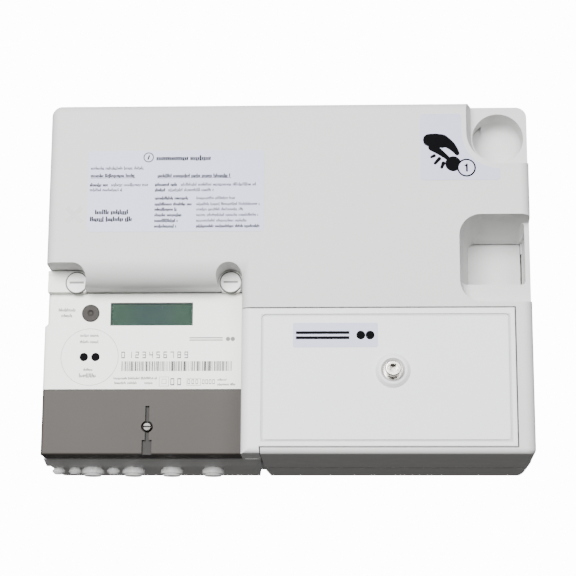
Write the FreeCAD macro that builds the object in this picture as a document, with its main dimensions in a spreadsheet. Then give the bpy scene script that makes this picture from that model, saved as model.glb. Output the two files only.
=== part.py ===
import FreeCAD, Part

import math
import os

import Sketcher

# A wall-mounted coin electricity meter, in millimetres.
#
# The frame: +X to the right and +Z up as seen from the front. The wall is the plane Y = 0 and the
# front faces -Y. The origin is the centre of the back face. Depths below are distances from the
# wall, called "out" in the code, so a point at depth out lies at Y = -out.

doc = FreeCAD.newDocument("CoinMeter")
sheet = doc.addObject("Spreadsheet::Sheet", "Sizes")
sheet.Label = "Sizes"


class Size(float):
    """A number in millimetres that carries the spreadsheet expression it comes from."""

    def __new__(cls, value, text):
        made = float.__new__(cls, value)
        made.text = text
        return made

    def __add__(self, other):
        return Size(float(self) + float(other), f"({text_of(self)} + {text_of(other)})")

    def __radd__(self, other):
        return Size(float(other) + float(self), f"({text_of(other)} + {text_of(self)})")

    def __sub__(self, other):
        return Size(float(self) - float(other), f"({text_of(self)} - {text_of(other)})")

    def __rsub__(self, other):
        return Size(float(other) - float(self), f"({text_of(other)} - {text_of(self)})")

    def __mul__(self, other):
        return Size(float(self) * float(other), f"({text_of(self)} * {text_of(other)})")

    __rmul__ = __mul__

    def __truediv__(self, other):
        return Size(float(self) / float(other), f"({text_of(self)} / {text_of(other)})")

    def __neg__(self):
        return Size(-float(self), f"(0 - {text_of(self)})")


def text_of(number):
    """The expression for a Size, or the digits of a plain number."""
    return number.text if isinstance(number, Size) else f"{float(number):.6f}"


def size(alias, value, note):
    """Write one driving dimension into the spreadsheet and return it as a Size."""
    row = 2 + size.rows
    size.rows += 1
    sheet.set(f"A{row}", note)
    sheet.set(f"B{row}", f"{value}")
    sheet.setAlias(f"B{row}", alias)
    return Size(value, f"Sizes.{alias}")


size.rows = 0

# ---------------------------------------------------------------- driving dimensions

case_width = size("case_width", 272.0, "rear tray across")
case_height = size("case_height", 199.0, "rear tray top to bottom")
tray_depth = size("tray_depth", 34.0, "wall to the seam of tray and cover")
case_depth = size("case_depth", 84.0, "wall to the main front face")
wall = size("wall", 2.5, "moulded case walls")
corner_round = size("corner_round", 6.0, "case corners seen from the front")
cover_inset_left = size("cover_inset_left", 3.3, "front cover stands in from the tray on the left")
cover_inset = size("cover_inset", 1.1, "front cover stands in from the tray on the right")
side_draft = size("side_draft", 1.1, "how much each cover side leans in towards the front")
front_round = size("front_round", 5.5, "rounding round the main front face")
foot_round = size("foot_round", 3.0, "rounding of the front face's bottom edge")

# Edges of the case. Everything below is measured from one of them.
case_left = -case_width / 2
case_right = case_width / 2
case_top = case_height / 2
case_bottom = -case_height / 2
cover_left = case_left + cover_inset_left
cover_right = case_right - cover_inset
cover_inner = case_depth - wall
cover_bottom = case_bottom + size("cover_lift", 0.5, "front cover above the tray's bottom")
through = size("through", 6.0, "how far cutting tools run past what they cut")
far_out = case_depth + through

meter_right = case_left + size("bay_width", 112.3, "meter bay across, from the case's left side")
meter_top = case_bottom + size("bay_height", 95.2, "meter bay, from the case's bottom")
brow_round = size("brow_round", 14.0, "large rounding above the meter")
column_round = size("column_round", 5.0, "rounding of the column beside the meter")
meter_gap = size("meter_gap", 0.6, "gap between the meter and the case")
meter_left = case_left + size("meter_inset", 0.8, "the meter stands in from the case's left side")
meter_face = size("meter_face", 60.0, "wall to the meter's front")
meter_bottom = case_bottom + size("meter_clear", 4.4, "terminal cover above the case's bottom")
terminal_top = meter_bottom + size("terminal_height", 35.8, "terminal cover top to bottom")
cover_back = tray_depth + size("meter_back", 4.0, "the meter cover starts in front of the tray's seam")
meter_wall = size("meter_wall", 2.0, "moulded meter walls")

cash_margin = size("cash_margin", 12.0, "cash box front to the case's right side")
cash_right = case_right - cash_margin
cash_top = case_bottom + size("cash_rise", 80.9, "top of the cash box front above the case's bottom")
cash_bottom = case_bottom + size("cash_sill", 5.5, "bottom of the cash box front above the case's bottom")
cash_gap = size("cash_gap", 0.6, "gap round the cash box front")
foot_right = meter_right + size("foot_width", 10.1, "the column's foot across")
foot_bottom = case_bottom + size("foot_clear", 2.0, "the column's foot above the case's bottom")
cash_back = case_depth - size("cash_skirt", 22.0, "depth of the cash box front's moulding")
tray_sheet = size("tray_sheet", 1.5, "steel sheet of the cash tray")

dish_x = case_right - size("dish_inset", 18.2, "coin dish centre from the case's right side")
dish_z = case_top - size("dish_drop", 19.0, "coin dish centre below the case's top")
dish_radius = size("dish_radius", 14.2, "coin dish mouth")
dish_floor = size("dish_floor", 55.0, "wall to the floor of the coin dish")
ledge_out = case_depth - size("ledge_drop", 12.0, "depth of the lowered corner and of the return notch")
coin_diameter = size("coin_diameter", 22.5, "largest coin")
coin_thickness = size("coin_thickness", 3.2, "thickest coin")
coin_play = size("coin_play", 0.6, "play of a coin in its slot and channel")

cup_left = case_right - size("cup_reach", 41.2, "left edge of the return cup from the case's right side")
cup_top = case_top - size("cup_drop", 65.8, "top edge of the return cup below the case's top")
cup_bottom = cup_top - size("cup_height", 49.1, "return cup top to bottom at the front face")
cup_round = size("cup_round", 12.0, "corners of the return cup")
cup_right = case_right - size("cup_strip", 4.7, "strip right of the return cup")
strip_undercut = size("strip_undercut", 1.1, "how far the cup reaches behind the strip on its right")
lip_top = cup_bottom + size("lip_height", 12.1, "the cup's lip above its bottom edge")
flap_out = size("flap_out", 44.0, "wall to the inner end of the return cup")
flap_play = size("flap_play", 0.15, "gap between the cup's end and the flap's face")
flap_lap = size("flap_lap", 0.6, "the flap reaches past the cup's end at the left and top")
flap_pin_radius = size("flap_pin_radius", 1.25, "pin of the return flap")
flap_barrel = size("flap_barrel", 2.6, "barrel round the flap's pin")
flap_gap = size("flap_gap", 1.3, "gap right of the return flap")
notch_lean = size("notch_lean", 2.1, "how far the return notch's sides lean in")
cup_lean = size("cup_lean", 4.8, "how far the return cup's sides lean in")

lock_x = cash_right - size("lock_inset", 65.9, "lock from the right edge of the cash box front")
lock_z = cash_top - size("lock_drop", 34.5, "lock below the top edge of the cash box front")
lock_radius = size("lock_radius", 4.3, "turning stud of the lock")
lock_bush = lock_radius + size("bush_wall", 0.9, "wall of the lock's bush")
lock_arm_out = cash_back + size("arm_step", 2.0, "lock arm in front of the cash tray")
lock_arm_thick = size("lock_arm_thick", 3.0, "lock arm")
lock_square = size("lock_square", 2.4, "half the lock's square")
ring_radius = size("ring_radius", 9.4, "raised ring round the lock")
turn_play = size("turn_play", 0.05, "radial play of turning and sliding parts")

screw_side = size("screw_side", 24.0, "wall fixing holes from the case's sides")
screw_end = size("screw_end", 11.0, "wall fixing holes from the case's ends, before their shift")
screw_pitch = case_width - screw_side * 2
screw_rise = case_height - screw_end * 2
screw_middle = size("screw_middle", -2.5, "height of the wall fixing holes' centre")
screw_hole = size("screw_hole", 5.5, "wall fixing hole bore")

button_x = meter_left + size("button_inset", 25.7, "display button from the meter's left side")
button_z = meter_top - size("button_drop", 11.8, "display button below the bay's top")
button_radius = size("button_radius", 4.95, "display button")
port_x = meter_left + size("port_inset", 25.8, "optical port from the meter's left side")
port_z = meter_top - size("port_drop", 36.6, "optical port below the bay's top")
port_pitch = size("port_pitch", 6.5, "spacing of the optical windows")
port_radius = size("port_radius", 2.4, "optical window")
lcd_left = meter_left + size("lcd_inset", 36.7, "display window from the meter's left side")
lcd_right = lcd_left + size("lcd_width", 46.2, "display window across")
lcd_top = meter_top - size("lcd_drop", 5.8, "display window below the bay's top")
lcd_bottom = lcd_top - size("lcd_height", 13.1, "display window top to bottom")
seal_left_x = meter_left + size("seal_left_inset", 18.1, "left seal screw from the meter's left side")
seal_right_x = meter_right - size("seal_right_inset", 7.4, "right seal screw from the bay's right side")
seal_z = meter_top + size("seal_rise", 4.6, "seal screws above the bay's top")
seal_radius = size("seal_radius", 6.15, "seal screw cap")
seal_gap = size("seal_gap", 0.25, "gap round a seal cap in its counterbore")
ear_wall = size("ear_wall", 0.5, "wall of the meter's ear round a seal cap")
ear_out = meter_face + size("ear_step", 5.0, "the ears stand in front of the meter's face")
cap_sunk = size("cap_sunk", 2.0, "depth of a seal cap's counterbore")
cap_proud = size("cap_proud", 0.5, "a seal cap stands proud of its ear")
seal_shank = size("seal_shank", 2.2, "seal screw shank")
seal_post_end = cover_back - size("post_gap", 0.3, "gap between the seal screws' posts and the meter")
niche_play = size("niche_play", 0.3, "space round an ear in its niche")
term_screw_x = meter_left + size("term_screw_inset", 58.6, "terminal cover screw from the left side")
term_screw_z = meter_bottom + size("term_screw_rise", 15.3, "terminal cover screw above its bottom edge")
terminal_skin = size("terminal_skin", 3.0, "front wall of the terminal cover")
terminal_front = meter_face - size("terminal_drop", 16.0, "terminal block behind the meter's front")

plug_out = size("plug_out", 26.5, "wall to the middle of the cable plugs")
big_plug = size("big_plug", 6.25, "radius of the large cable plugs")
small_plug = size("small_plug", 3.55, "radius of the small cable plugs")
big_plugs = [meter_left + size(f"big_plug_{number}", across, f"large cable plug {number} from the meter's left side")
             for number, across in enumerate((24.5, 47.6, 69.3, 92.7), start=1)]
small_plugs = [meter_left + size(f"small_plug_{number}", across,
                                 f"small cable plug {number} from the meter's left side")
               for number, across in enumerate((5.0, 14.3, 36.1), start=1)]

lamp_x = case_left + size("lamp_inset", 19.2, "supply lamp from the case's left side")
lamp_z = case_top - size("lamp_drop", 65.2, "supply lamp below the case's top")
label_thick = size("label_thick", 0.15, "labels")
info_left = case_left + size("info_inset", 26.5, "instruction label from the case's left side")
info_right = info_left + size("info_width", 97.6, "instruction label across")
info_top = case_top - size("info_drop", 28.5, "instruction label below the case's top")
info_bottom = info_top - size("info_height", 46.5, "instruction label top to bottom")
badge_left = meter_right + size("badge_inset", 28.0, "badge from the left edge of the cash box front")
badge_right = badge_left + size("badge_width", 45.8, "badge across")
badge_top = cash_top - size("badge_drop", 8.3, "badge below the top edge of the cash box front")
badge_bottom = badge_top - size("badge_height", 13.4, "badge top to bottom")

board_out = size("board_out", 16.0, "wall to the control board")
board_thick = size("board_thick", 1.6, "circuit boards")

doc.recompute()

# ---------------------------------------------------------------- drawing helpers

PLANES = {"front": "XZ_Plane", "side": "YZ_Plane", "top": "XY_Plane"}
pieces = []


def bind(obj, prop, value):
    """Tie one property of an object to the spreadsheet."""
    obj.setExpression(prop, text_of(value))


def node(obj, label):
    """Name an object as one of the assembly's pieces."""
    obj.Label = label
    pieces.append(obj)
    return obj


def local_points(plane, outline):
    """Turn (across, height), (out, height) or (across, out) points into the sketch plane's own."""
    if plane == "front":
        return [tuple(point) for point in outline]
    turned_over = []
    for first, second, *radius in outline:
        place = (-first, second) if plane == "side" else (first, -second)
        turned_over.append(place + tuple(-value for value in radius))
    return turned_over


def add_outline(sketch, outline):
    """Draw a closed outline of lines and arcs, each corner tied to the spreadsheet.

    A third number on a point makes the stretch to the next point an arc of that radius, whose
    centre is on the left of the way there when the radius is positive.
    """
    count = len(outline)
    for index, point in enumerate(outline):
        after = outline[(index + 1) % count]
        start = FreeCAD.Vector(float(point[0]), float(point[1]), 0)
        finish = FreeCAD.Vector(float(after[0]), float(after[1]), 0)
        if len(point) == 2:
            sketch.addGeometry(Part.LineSegment(start, finish))
            continue
        radius = abs(float(point[2]))
        side = 1.0 if float(point[2]) > 0 else -1.0
        chord = finish - start
        normal = FreeCAD.Vector(-chord.y, chord.x, 0).normalize() * side
        rise = math.sqrt(max(radius ** 2 - (chord.Length / 2) ** 2, 0.0))
        centre = (start + finish) / 2 + normal * rise
        first, last = (start, finish) if side > 0 else (finish, start)
        begin = math.atan2(first.y - centre.y, first.x - centre.x)
        end = math.atan2(last.y - centre.y, last.x - centre.x)
        if end < begin:
            end += 2 * math.pi
        ring = Part.Circle(centre, FreeCAD.Vector(0, 0, 1), radius)
        sketch.addGeometry(Part.ArcOfCircle(ring, begin, end))
    for index in range(count):
        after = (index + 1) % count
        first_end = end_at(sketch, index, outline[after])
        next_start = end_at(sketch, after, outline[after])
        sketch.addConstraint(Sketcher.Constraint("Coincident", index, first_end, after, next_start))
    for index, point in enumerate(outline):
        corner = end_at(sketch, index, point)
        for kind, value in (("DistanceX", point[0]), ("DistanceY", point[1])):
            added = sketch.addConstraint(Sketcher.Constraint(kind, -1, 1, index, corner, float(value)))
            bind(sketch, f"Constraints[{added}]", value)
        if len(point) == 3:
            radius = abs(float(point[2]))
            added = sketch.addConstraint(Sketcher.Constraint("Radius", index, radius))
            bind(sketch, f"Constraints[{added}]", point[2] if float(point[2]) > 0 else -point[2])


def end_at(sketch, index, point):
    """Which end of a sketched edge, 1 or 2, is at a point."""
    edge = sketch.Geometry[index]
    wanted = FreeCAD.Vector(float(point[0]), float(point[1]), 0)
    to_start = (edge.StartPoint - wanted).Length
    to_finish = (edge.EndPoint - wanted).Length
    return 1 if to_start <= to_finish else 2


def sketch_on(body, plane, offset, outline=None, circles=()):
    """A sketch in a body, on one of its origin planes shifted along that plane's normal."""
    sketch = body.newObject("Sketcher::SketchObject", "Outline")
    origin = next(f for f in body.Origin.OriginFeatures if f.Role == PLANES[plane])
    sketch.AttachmentSupport = [(origin, "")]
    sketch.MapMode = "FlatFace"
    sketch.AttachmentOffset = FreeCAD.Placement(FreeCAD.Vector(0, 0, float(offset)), FreeCAD.Rotation())
    bind(sketch, "AttachmentOffset.Base.z", offset)
    if outline:
        add_outline(sketch, local_points(plane, outline))
    for across, height, radius in circles:
        centre = FreeCAD.Vector(float(across), float(height), 0)
        ring = sketch.addGeometry(Part.Circle(centre, FreeCAD.Vector(0, 0, 1), float(radius)))
        for kind, value in (("DistanceX", across), ("DistanceY", height)):
            added = sketch.addConstraint(Sketcher.Constraint(kind, -1, 1, ring, 3, float(value)))
            bind(sketch, f"Constraints[{added}]", value)
        added = sketch.addConstraint(Sketcher.Constraint("Radius", ring, float(radius)))
        bind(sketch, f"Constraints[{added}]", radius)
    return sketch


def prism(plane, outline, start, end, circles=()):
    """A PartDesign body: one sketch on a plane at start, padded to end."""
    body = doc.addObject("PartDesign::Body", "Prism")
    sketch = sketch_on(body, plane, start, outline, circles)
    pad = body.newObject("PartDesign::Pad", "Pad")
    pad.Profile = sketch
    sketch.Visibility = False
    bind(pad, "Length", end - start)
    doc.recompute()
    return body


def loft(sections):
    """A PartDesign body lofted straight between outlines given as (out, outline)."""
    body = doc.addObject("PartDesign::Body", "Loft")
    sketches = [sketch_on(body, "front", out, outline) for out, outline in sections]
    blend = body.newObject("PartDesign::AdditiveLoft", "Blend")
    blend.Profile = sketches[0]
    blend.Sections = sketches[1:]
    blend.Ruled = True
    doc.recompute()
    return body


def rectangle(left, right, bottom, top, rounds=(0, 0, 0, 0)):
    """An outline of a rectangle. The corner radii run bottom left, bottom right, top right, top left."""
    corners = [(left, bottom, 1, 1), (right, bottom, -1, 1), (right, top, -1, -1), (left, top, 1, -1)]
    outline = []
    for index, (across, height, inward, upward) in enumerate(corners):
        radius = rounds[index]
        if not radius:
            outline.append((across, height))
            continue
        beside = (across + inward * radius, height)
        above = (across, height + upward * radius)
        first, second = (above, beside) if index in (0, 2) else (beside, above)
        outline.append(first + (radius,))
        outline.append(second)
    return outline


def block(left, right, low_out, high_out, bottom, top):
    """A Part::Box between two sides, two depths and two heights."""
    box = doc.addObject("Part::Box", "Block")
    box.Length = float(right - left)
    box.Width = float(high_out - low_out)
    box.Height = float(top - bottom)
    box.Placement.Base = FreeCAD.Vector(float(left), -float(high_out), float(bottom))
    bind(box, "Length", right - left)
    bind(box, "Width", high_out - low_out)
    bind(box, "Height", top - bottom)
    bind(box, "Placement.Base.x", left)
    bind(box, "Placement.Base.y", -high_out)
    bind(box, "Placement.Base.z", bottom)
    return box


def turned(kind, name, axis, first, second, start):
    """A turned primitive along an axis: "out" from the wall, "across" along X or "up" along Z."""
    made = doc.addObject(kind, name)
    turns = {
        "out": FreeCAD.Rotation(FreeCAD.Vector(1, 0, 0), 90),
        "across": FreeCAD.Rotation(FreeCAD.Vector(0, 1, 0), 90),
        "up": FreeCAD.Rotation(),
    }
    bases = {
        "out": (first, -start, second),
        "across": (start, -first, second),
        "up": (first, -second, start),
    }
    base = bases[axis]
    made.Placement = FreeCAD.Placement(FreeCAD.Vector(*[float(v) for v in base]), turns[axis])
    for letter, value in zip("xyz", base):
        bind(made, f"Placement.Base.{letter}", value)
    return made


def rod(axis, first, second, radius, start, end):
    """A cylinder. Along "out" the centre is (x, z), along "across" (out, z), along "up" (x, out)."""
    made = turned("Part::Cylinder", "Rod", axis, first, second, start)
    made.Radius = float(radius)
    made.Height = float(end - start)
    bind(made, "Radius", radius)
    bind(made, "Height", end - start)
    return made


def cone(axis, first, second, radius_start, radius_end, start, end):
    """A cone frustum along an axis, placed as a rod is."""
    made = turned("Part::Cone", "Cone", axis, first, second, start)
    made.Radius1 = float(radius_start)
    made.Radius2 = float(radius_end)
    made.Height = float(end - start)
    bind(made, "Radius1", radius_start)
    bind(made, "Radius2", radius_end)
    bind(made, "Height", end - start)
    return made


def fuse(*shapes):
    """One solid from several that meet."""
    if len(shapes) == 1:
        return shapes[0]
    made = doc.addObject("Part::MultiFuse", "Fuse")
    made.Shapes = list(shapes)
    made.Refine = True
    return made


def cut(base, *tools):
    """A shape with others taken away."""
    made = doc.addObject("Part::Cut", "Cut")
    made.Base = base
    made.Tool = fuse(*tools)
    made.Refine = True
    return made


def common(first, second):
    """What two shapes share."""
    made = doc.addObject("Part::MultiCommon", "Common")
    made.Shapes = [first, second]
    return made


def group(*solids):
    """Separate like solids, such as screws, kept together as one piece."""
    made = doc.addObject("Part::Compound", "Group")
    made.Links = list(solids)
    return made


def within(edge, across=None, out=None, height=None):
    """Whether an edge lies inside the given ranges of X, depth and Z."""
    box = edge.BoundBox
    spans = ((across, box.XMin, box.XMax), (out, -box.YMax, -box.YMin), (height, box.ZMin, box.ZMax))
    slack = 0.02
    for allowed, low, high in spans:
        if allowed is None:
            continue
        if low < float(allowed[0]) - slack or high > float(allowed[1]) + slack:
            return False
    return True


def soften(base, *choices):
    """A Part::Fillet: each choice is a radius and a test that picks its edges."""
    doc.recompute()
    made = doc.addObject("Part::Fillet", "Round")
    made.Base = base
    picked = []
    for number, edge in enumerate(base.Shape.Edges, start=1):
        for radius, chosen in choices:
            if chosen(edge):
                picked.append((number, float(radius), float(radius)))
                break
    made.Edges = picked
    doc.recompute()
    return made


# ---------------------------------------------------------------- tools shared by case and cover


def bay_tool(grow):
    """The space of the meter bay, with the brow's and the column's roundings, grown by a wall."""
    top = meter_top + grow
    right = meter_right + grow
    brow = brow_round - grow
    column = column_round - grow
    front = case_depth - grow
    below = case_bottom - 12
    brow_side = prism("side", [
        (tray_depth - through, below), (tray_depth - through, top), (front - brow, top, brow),
        (front, top + brow), (far_out, top + brow), (far_out, below),
    ], case_left - 12, case_right)
    column_top = prism("top", [
        (case_left - 12, tray_depth - through), (right, tray_depth - through),
        (right, front - column, -column), (right + column, front), (right + column, far_out),
        (case_left - 12, far_out),
    ], below, top + brow)
    return common(brow_side, column_top)


def niche_tools(grow):
    """The two niches of the seal caps: a round one and one that runs out to the left side."""
    radius = seal_radius + seal_gap + ear_wall + niche_play + grow
    start = tray_depth - through
    end = far_out
    return [
        rod("out", seal_right_x, seal_z, radius, start, end),
        rod("out", seal_left_x, seal_z, radius, start, end),
        block(case_left - 12, seal_left_x, start, end, seal_z - radius, seal_z + radius),
    ]


def corner_tool(grow):
    """The lowered corner round the coin dish, its stepped wall leaning and rounded about the dish."""
    lean = 3.4
    near_left = dish_x - dish_radius - 4 - grow
    near_bottom = dish_z - dish_radius - 3.7 - grow
    near_round = dish_radius + 3.8 + grow
    far_round = dish_radius + 0.8 + grow
    near = rectangle(near_left, case_right + 12, near_bottom, case_top + 12, (near_round, 0, 0, 0))
    far = rectangle(near_left + lean, case_right + 12, near_bottom + lean - 0.4, case_top + 12,
                    (far_round, 0, 0, 0))
    return loft([(case_depth, near), (ledge_out - grow, far)])


def dish_tool(grow):
    """The round coin dish with its bowl-shaped floor."""
    floor = dish_floor - grow
    well = rod("out", dish_x, dish_z, dish_radius + grow, floor, ledge_out + 1)
    return soften(well, (4.5 + grow, lambda edge: within(edge, out=(floor, floor))))


def cup_tools(grow):
    """The return cup: a shallow notch that runs out to the right side, and the deep cup inside it."""
    lean = notch_lean
    left = cup_left - grow
    top = cup_top + grow
    bottom = cup_bottom - grow
    side = case_right + 12
    radius = cup_round + grow
    notch = loft([
        (case_depth, rectangle(left, side, bottom, top, (radius, 0, 0, radius))),
        (ledge_out - grow, rectangle(left + lean, side, bottom + lean, top - lean,
                                     (radius - 1, 0, 0, radius - 1))),
    ])
    inner = (2 + grow, 2 + grow, 2 + grow, radius - 1)
    deep = loft([
        (ledge_out, rectangle(left + lean, cup_right + grow, lip_top - grow, top - lean, inner)),
        (flap_out, rectangle(left + lean + cup_lean, cup_right + grow, lip_top - grow,
                             top - lean - cup_lean, (2 + grow, 2 + grow, 2 + grow, 4 + grow))),
    ])
    behind_strip = block(cup_right - 1, cup_right + strip_undercut + grow, flap_out, ledge_out - wall,
                         lip_top - grow, top - lean - cup_lean)
    return [notch, deep, behind_strip]


def cash_tools(grow):
    """The opening for the cash box front, with the way through for the column's foot."""
    low = tray_depth - through
    opening = block(meter_right - 8, cash_right + cash_gap + grow, low, far_out,
                    cash_bottom - cash_gap - grow, cash_top + cash_gap + grow)
    foot = block(meter_right - 8, foot_right + cash_gap + grow, low, far_out,
                 case_bottom - 12, cash_bottom)
    return [opening, foot]


# ---------------------------------------------------------------- the case


def rear_tray():
    """The tray screwed to the wall: back, side walls, the cash compartment's walls and bosses."""
    outer = prism("front", rectangle(case_left, case_right, case_bottom, case_top, (corner_round,) * 4),
                  Size(0, "0"), tray_depth)
    inside_round = corner_round - wall
    hollow = prism("front", rectangle(case_left + wall, case_right - wall, case_bottom + wall,
                                      case_top - wall, (inside_round,) * 4), wall, tray_depth + 1)
    shell = cut(outer, hollow)
    split = foot_right
    divider = block(split - wall, split, wall, tray_depth - 1, case_bottom + wall, cash_top + 5)
    shelf = block(split - wall, case_right - wall, wall, tray_depth - 1, cash_top + wall, cash_top + 5)
    sill = prism("side", [
        (tray_depth, meter_bottom - 3), (tray_depth + 10, meter_bottom - 0.6),
        (tray_depth + 10, meter_bottom - 0.3 + 1.5), (tray_depth, meter_bottom + 1.5),
        (tray_depth - 2, meter_bottom + 1.5), (tray_depth - 2, meter_bottom - 3),
    ], case_left, split - 1)
    posts = [rod("out", across, seal_z, 4.5, wall, seal_post_end) for across in (seal_left_x, seal_right_x)]
    post_holes = [rod("out", across, seal_z, seal_shank + turn_play, wall + 8, seal_post_end + 1)
                  for across in (seal_left_x, seal_right_x)]
    wide = screw_pitch / 2
    tall = screw_rise / 2
    fixings = [(across, screw_middle + up) for across in (-wide, wide) for up in (-tall, tall)]
    pads = [rod("out", across, up, screw_hole / 2 + 3, wall, wall + 1) for across, up in fixings]
    holes = [rod("out", across, up, screw_hole / 2, Size(-1, "-1"), wall + 2) for across, up in fixings]
    lean = prism("side", [
        (tray_depth + 12, meter_bottom - 3), (tray_depth, meter_bottom - 3), (Size(-1, "-1"), case_bottom),
        (Size(-1, "-1"), case_bottom - 3), (tray_depth + 12, case_bottom - 3),
    ], case_left - 1, split - 1)
    vee = prism("top", [
        (split - 0.9, tray_depth + 1), (split + 0.4, tray_depth + 1), (split + 2.6, Size(-1, "-1")),
        (split - 3.6, Size(-1, "-1")),
    ], case_bottom - 1, case_bottom + 3.5)
    plug_holes = [rod("up", across, plug_out, big_plug - 1, case_bottom - 1, case_bottom + wall + 3)
                  for across in big_plugs]
    plug_holes += [rod("up", across, plug_out, small_plug - 0.8, case_bottom - 1, case_bottom + wall + 3)
                   for across in small_plugs]
    boards = [rod("out", across, up, 3, wall, board_out) for across, up in board_posts]
    lugs = [rod("out", across, up, 3.5, wall, tray_depth) for across, up in cover_screw_places]
    lug_holes = [rod("out", across, up, 1.5, tray_depth - 15, tray_depth + 1)
                 for across, up in cover_screw_places]
    solid = fuse(shell, divider, shelf, sill, *pads, *boards, *lugs, *posts)
    return node(cut(solid, lean, vee, *holes, *plug_holes, *lug_holes, *post_holes), "rear_tray")


def front_cover():
    """The large front moulding with the meter bay, cash opening, coin dish and return cup."""
    back = rectangle(cover_left, cover_right, cover_bottom, case_top)
    front = rectangle(cover_left + side_draft, cover_right - side_draft, cover_bottom + side_draft,
                      case_top - side_draft)
    raw = loft([(tray_depth, back), (case_depth, front)])
    low = cover_bottom + side_draft
    high = case_top - side_draft
    left = cover_left + side_draft
    right = cover_right - side_draft
    face = (case_depth, case_depth)
    near_low = (case_bottom, low)
    near_high = (high, case_top)
    solid = soften(
        raw,
        (foot_round, lambda edge: within(edge, out=face, height=(low, low))),
        (front_round, lambda edge: within(edge, out=face)),
        (corner_round, lambda edge: within(edge, height=near_high) and not within(edge, across=(left, right))
         and edge.BoundBox.YLength > 10),
        (foot_round, lambda edge: within(edge, height=near_low) and edge.BoundBox.YLength > 10),
    )
    inner = loft([
        (tray_depth - 1, rectangle(cover_left + wall, cover_right - wall, cover_bottom + wall,
                                   case_top - wall, (corner_round - wall,) * 4)),
        (cover_inner, rectangle(left + wall, right - wall, low + wall, high - wall,
                                (corner_round - wall,) * 4)),
    ])
    walls = [bay_tool(wall), *niche_tools(wall), corner_tool(wall), dish_tool(wall - 0.5),
             *cup_tools(wall), *cash_tools(wall)]
    hollow = cut(inner, *walls)
    slot_half = (coin_diameter + coin_play) / 2
    coin_slot = block(dish_x - dish_radius - 4, dish_x - dish_radius + 6, dish_floor,
                      dish_floor + coin_thickness + coin_play, dish_z - slot_half, dish_z + slot_half)
    arm_slot = block(lock_x - 8, lock_x + 22, lock_arm_out - 3, lock_arm_out + lock_arm_thick + 2,
                     cash_top, cash_top + 6)
    chute_way = block(channel_left - 1, channel_right + 0.4, chute_out - 2, chute_out + 14, cash_top,
                      cash_top + 4)
    lamp = lamp_cross(case_depth - wall - 1, case_depth + 1)
    pin_lugs = [block(low, high, flap_out - 5.6, flap_out + 1, flap_pin_z - 4, flap_pin_z + 4)
                for low, high in ((flap_left - 3.6, flap_left - 1.2), (flap_right + 0.3, pocket_right + 0.6))]
    pin_holes = rod("across", flap_pin_out, flap_pin_z, flap_pin_radius, flap_left - 2.8, pocket_right)
    lamp_posts = [rod("out", across, lamp_z, 1.2, cover_inner - 9, cover_inner + 0.5)
                  for across in (lamp_x - 8.2, lamp_x + 8.2)]
    shell = cut(solid, hollow, bay_tool(Size(0, "0")), *niche_tools(Size(0, "0")), corner_tool(Size(0, "0")),
                dish_tool(Size(0, "0")), *cup_tools(Size(0, "0")), *cash_tools(Size(0, "0")))
    tabs = [rod("out", across, up, 4.5, tray_depth, tray_depth + 4) for across, up in cover_screw_places]
    arms = [block(across - 4.5, across + 4.5, tray_depth, tray_depth + 4, up, cash_top + 2)
            for across, up in cover_screw_places]
    tab_holes = [rod("out", across, up, 2.1, tray_depth - 1, tray_depth + 5)
                 for across, up in cover_screw_places]
    tongue_top = case_top - wall - 0.4
    hooks = []
    for across in (case_left + 46, Size(0, "0"), dish_x - 37.8):
        hooks.append(block(across - 6, across + 6, tray_depth - 5, tray_depth + 4, tongue_top - 2,
                           tongue_top))
        hooks.append(block(across - 6, across + 6, tray_depth, tray_depth + 4, tongue_top - 2,
                           case_top - wall / 2))
    whole = cut(fuse(shell, *tabs, *arms, *hooks, *pin_lugs, *lamp_posts), coin_slot, arm_slot, chute_way, lamp, pin_holes,
                *tab_holes)
    return node(whole, "front_cover")


def cover_screws():
    """The screws inside the cash compartment that hold the cover to the tray."""
    made = []
    for across, up in cover_screw_places:
        head = rod("out", across, up, 3.4, tray_depth + 4, tray_depth + 6.4)
        shank = rod("out", across, up, 1.5, tray_depth - 12, tray_depth + 4)
        slot = block(across - 4, across + 4, tray_depth + 5.4, tray_depth + 8, up - 0.5, up + 0.5)
        made.append(cut(fuse(head, shank), slot))
    return node(group(*made), "cover_screws")


def lamp_cross(start, end):
    """A cross of two diagonal bars at the supply lamp, the shape of its window."""
    reach = 4.2
    thick = 0.9
    bars = []
    for turn in (1, -1):
        along = (reach, reach * turn)
        aside = (-thick * turn, thick)
        bars.append(prism("front", [
            (lamp_x - along[0] - aside[0], lamp_z - along[1] - aside[1]),
            (lamp_x + along[0] - aside[0], lamp_z + along[1] - aside[1]),
            (lamp_x + along[0] + aside[0], lamp_z + along[1] + aside[1]),
            (lamp_x - along[0] + aside[0], lamp_z - along[1] + aside[1]),
        ], start, end))
    return fuse(*bars)


def supply_lamp():
    """The cross-shaped lens in the cover and the lamp in its holder behind it."""
    flange = block(lamp_x - 7, lamp_x + 7, cover_inner - 1.2, cover_inner, lamp_z - 7, lamp_z + 7)
    node(fuse(flange, lamp_cross(cover_inner - 0.6, case_depth)), "supply_lamp_lens")
    bulb = fuse(rod("out", lamp_x, lamp_z, 2.5, cover_inner - 8, cover_inner - 1.6),
                rod("out", lamp_x, lamp_z, 2.9, cover_inner - 9, cover_inner - 8))
    node(bulb, "supply_lamp_led")
    node(block(lamp_x - 9, lamp_x + 9, cover_inner - 10.6, cover_inner - 9, lamp_z - 7, lamp_z + 7),
         "lamp_board")


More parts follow.
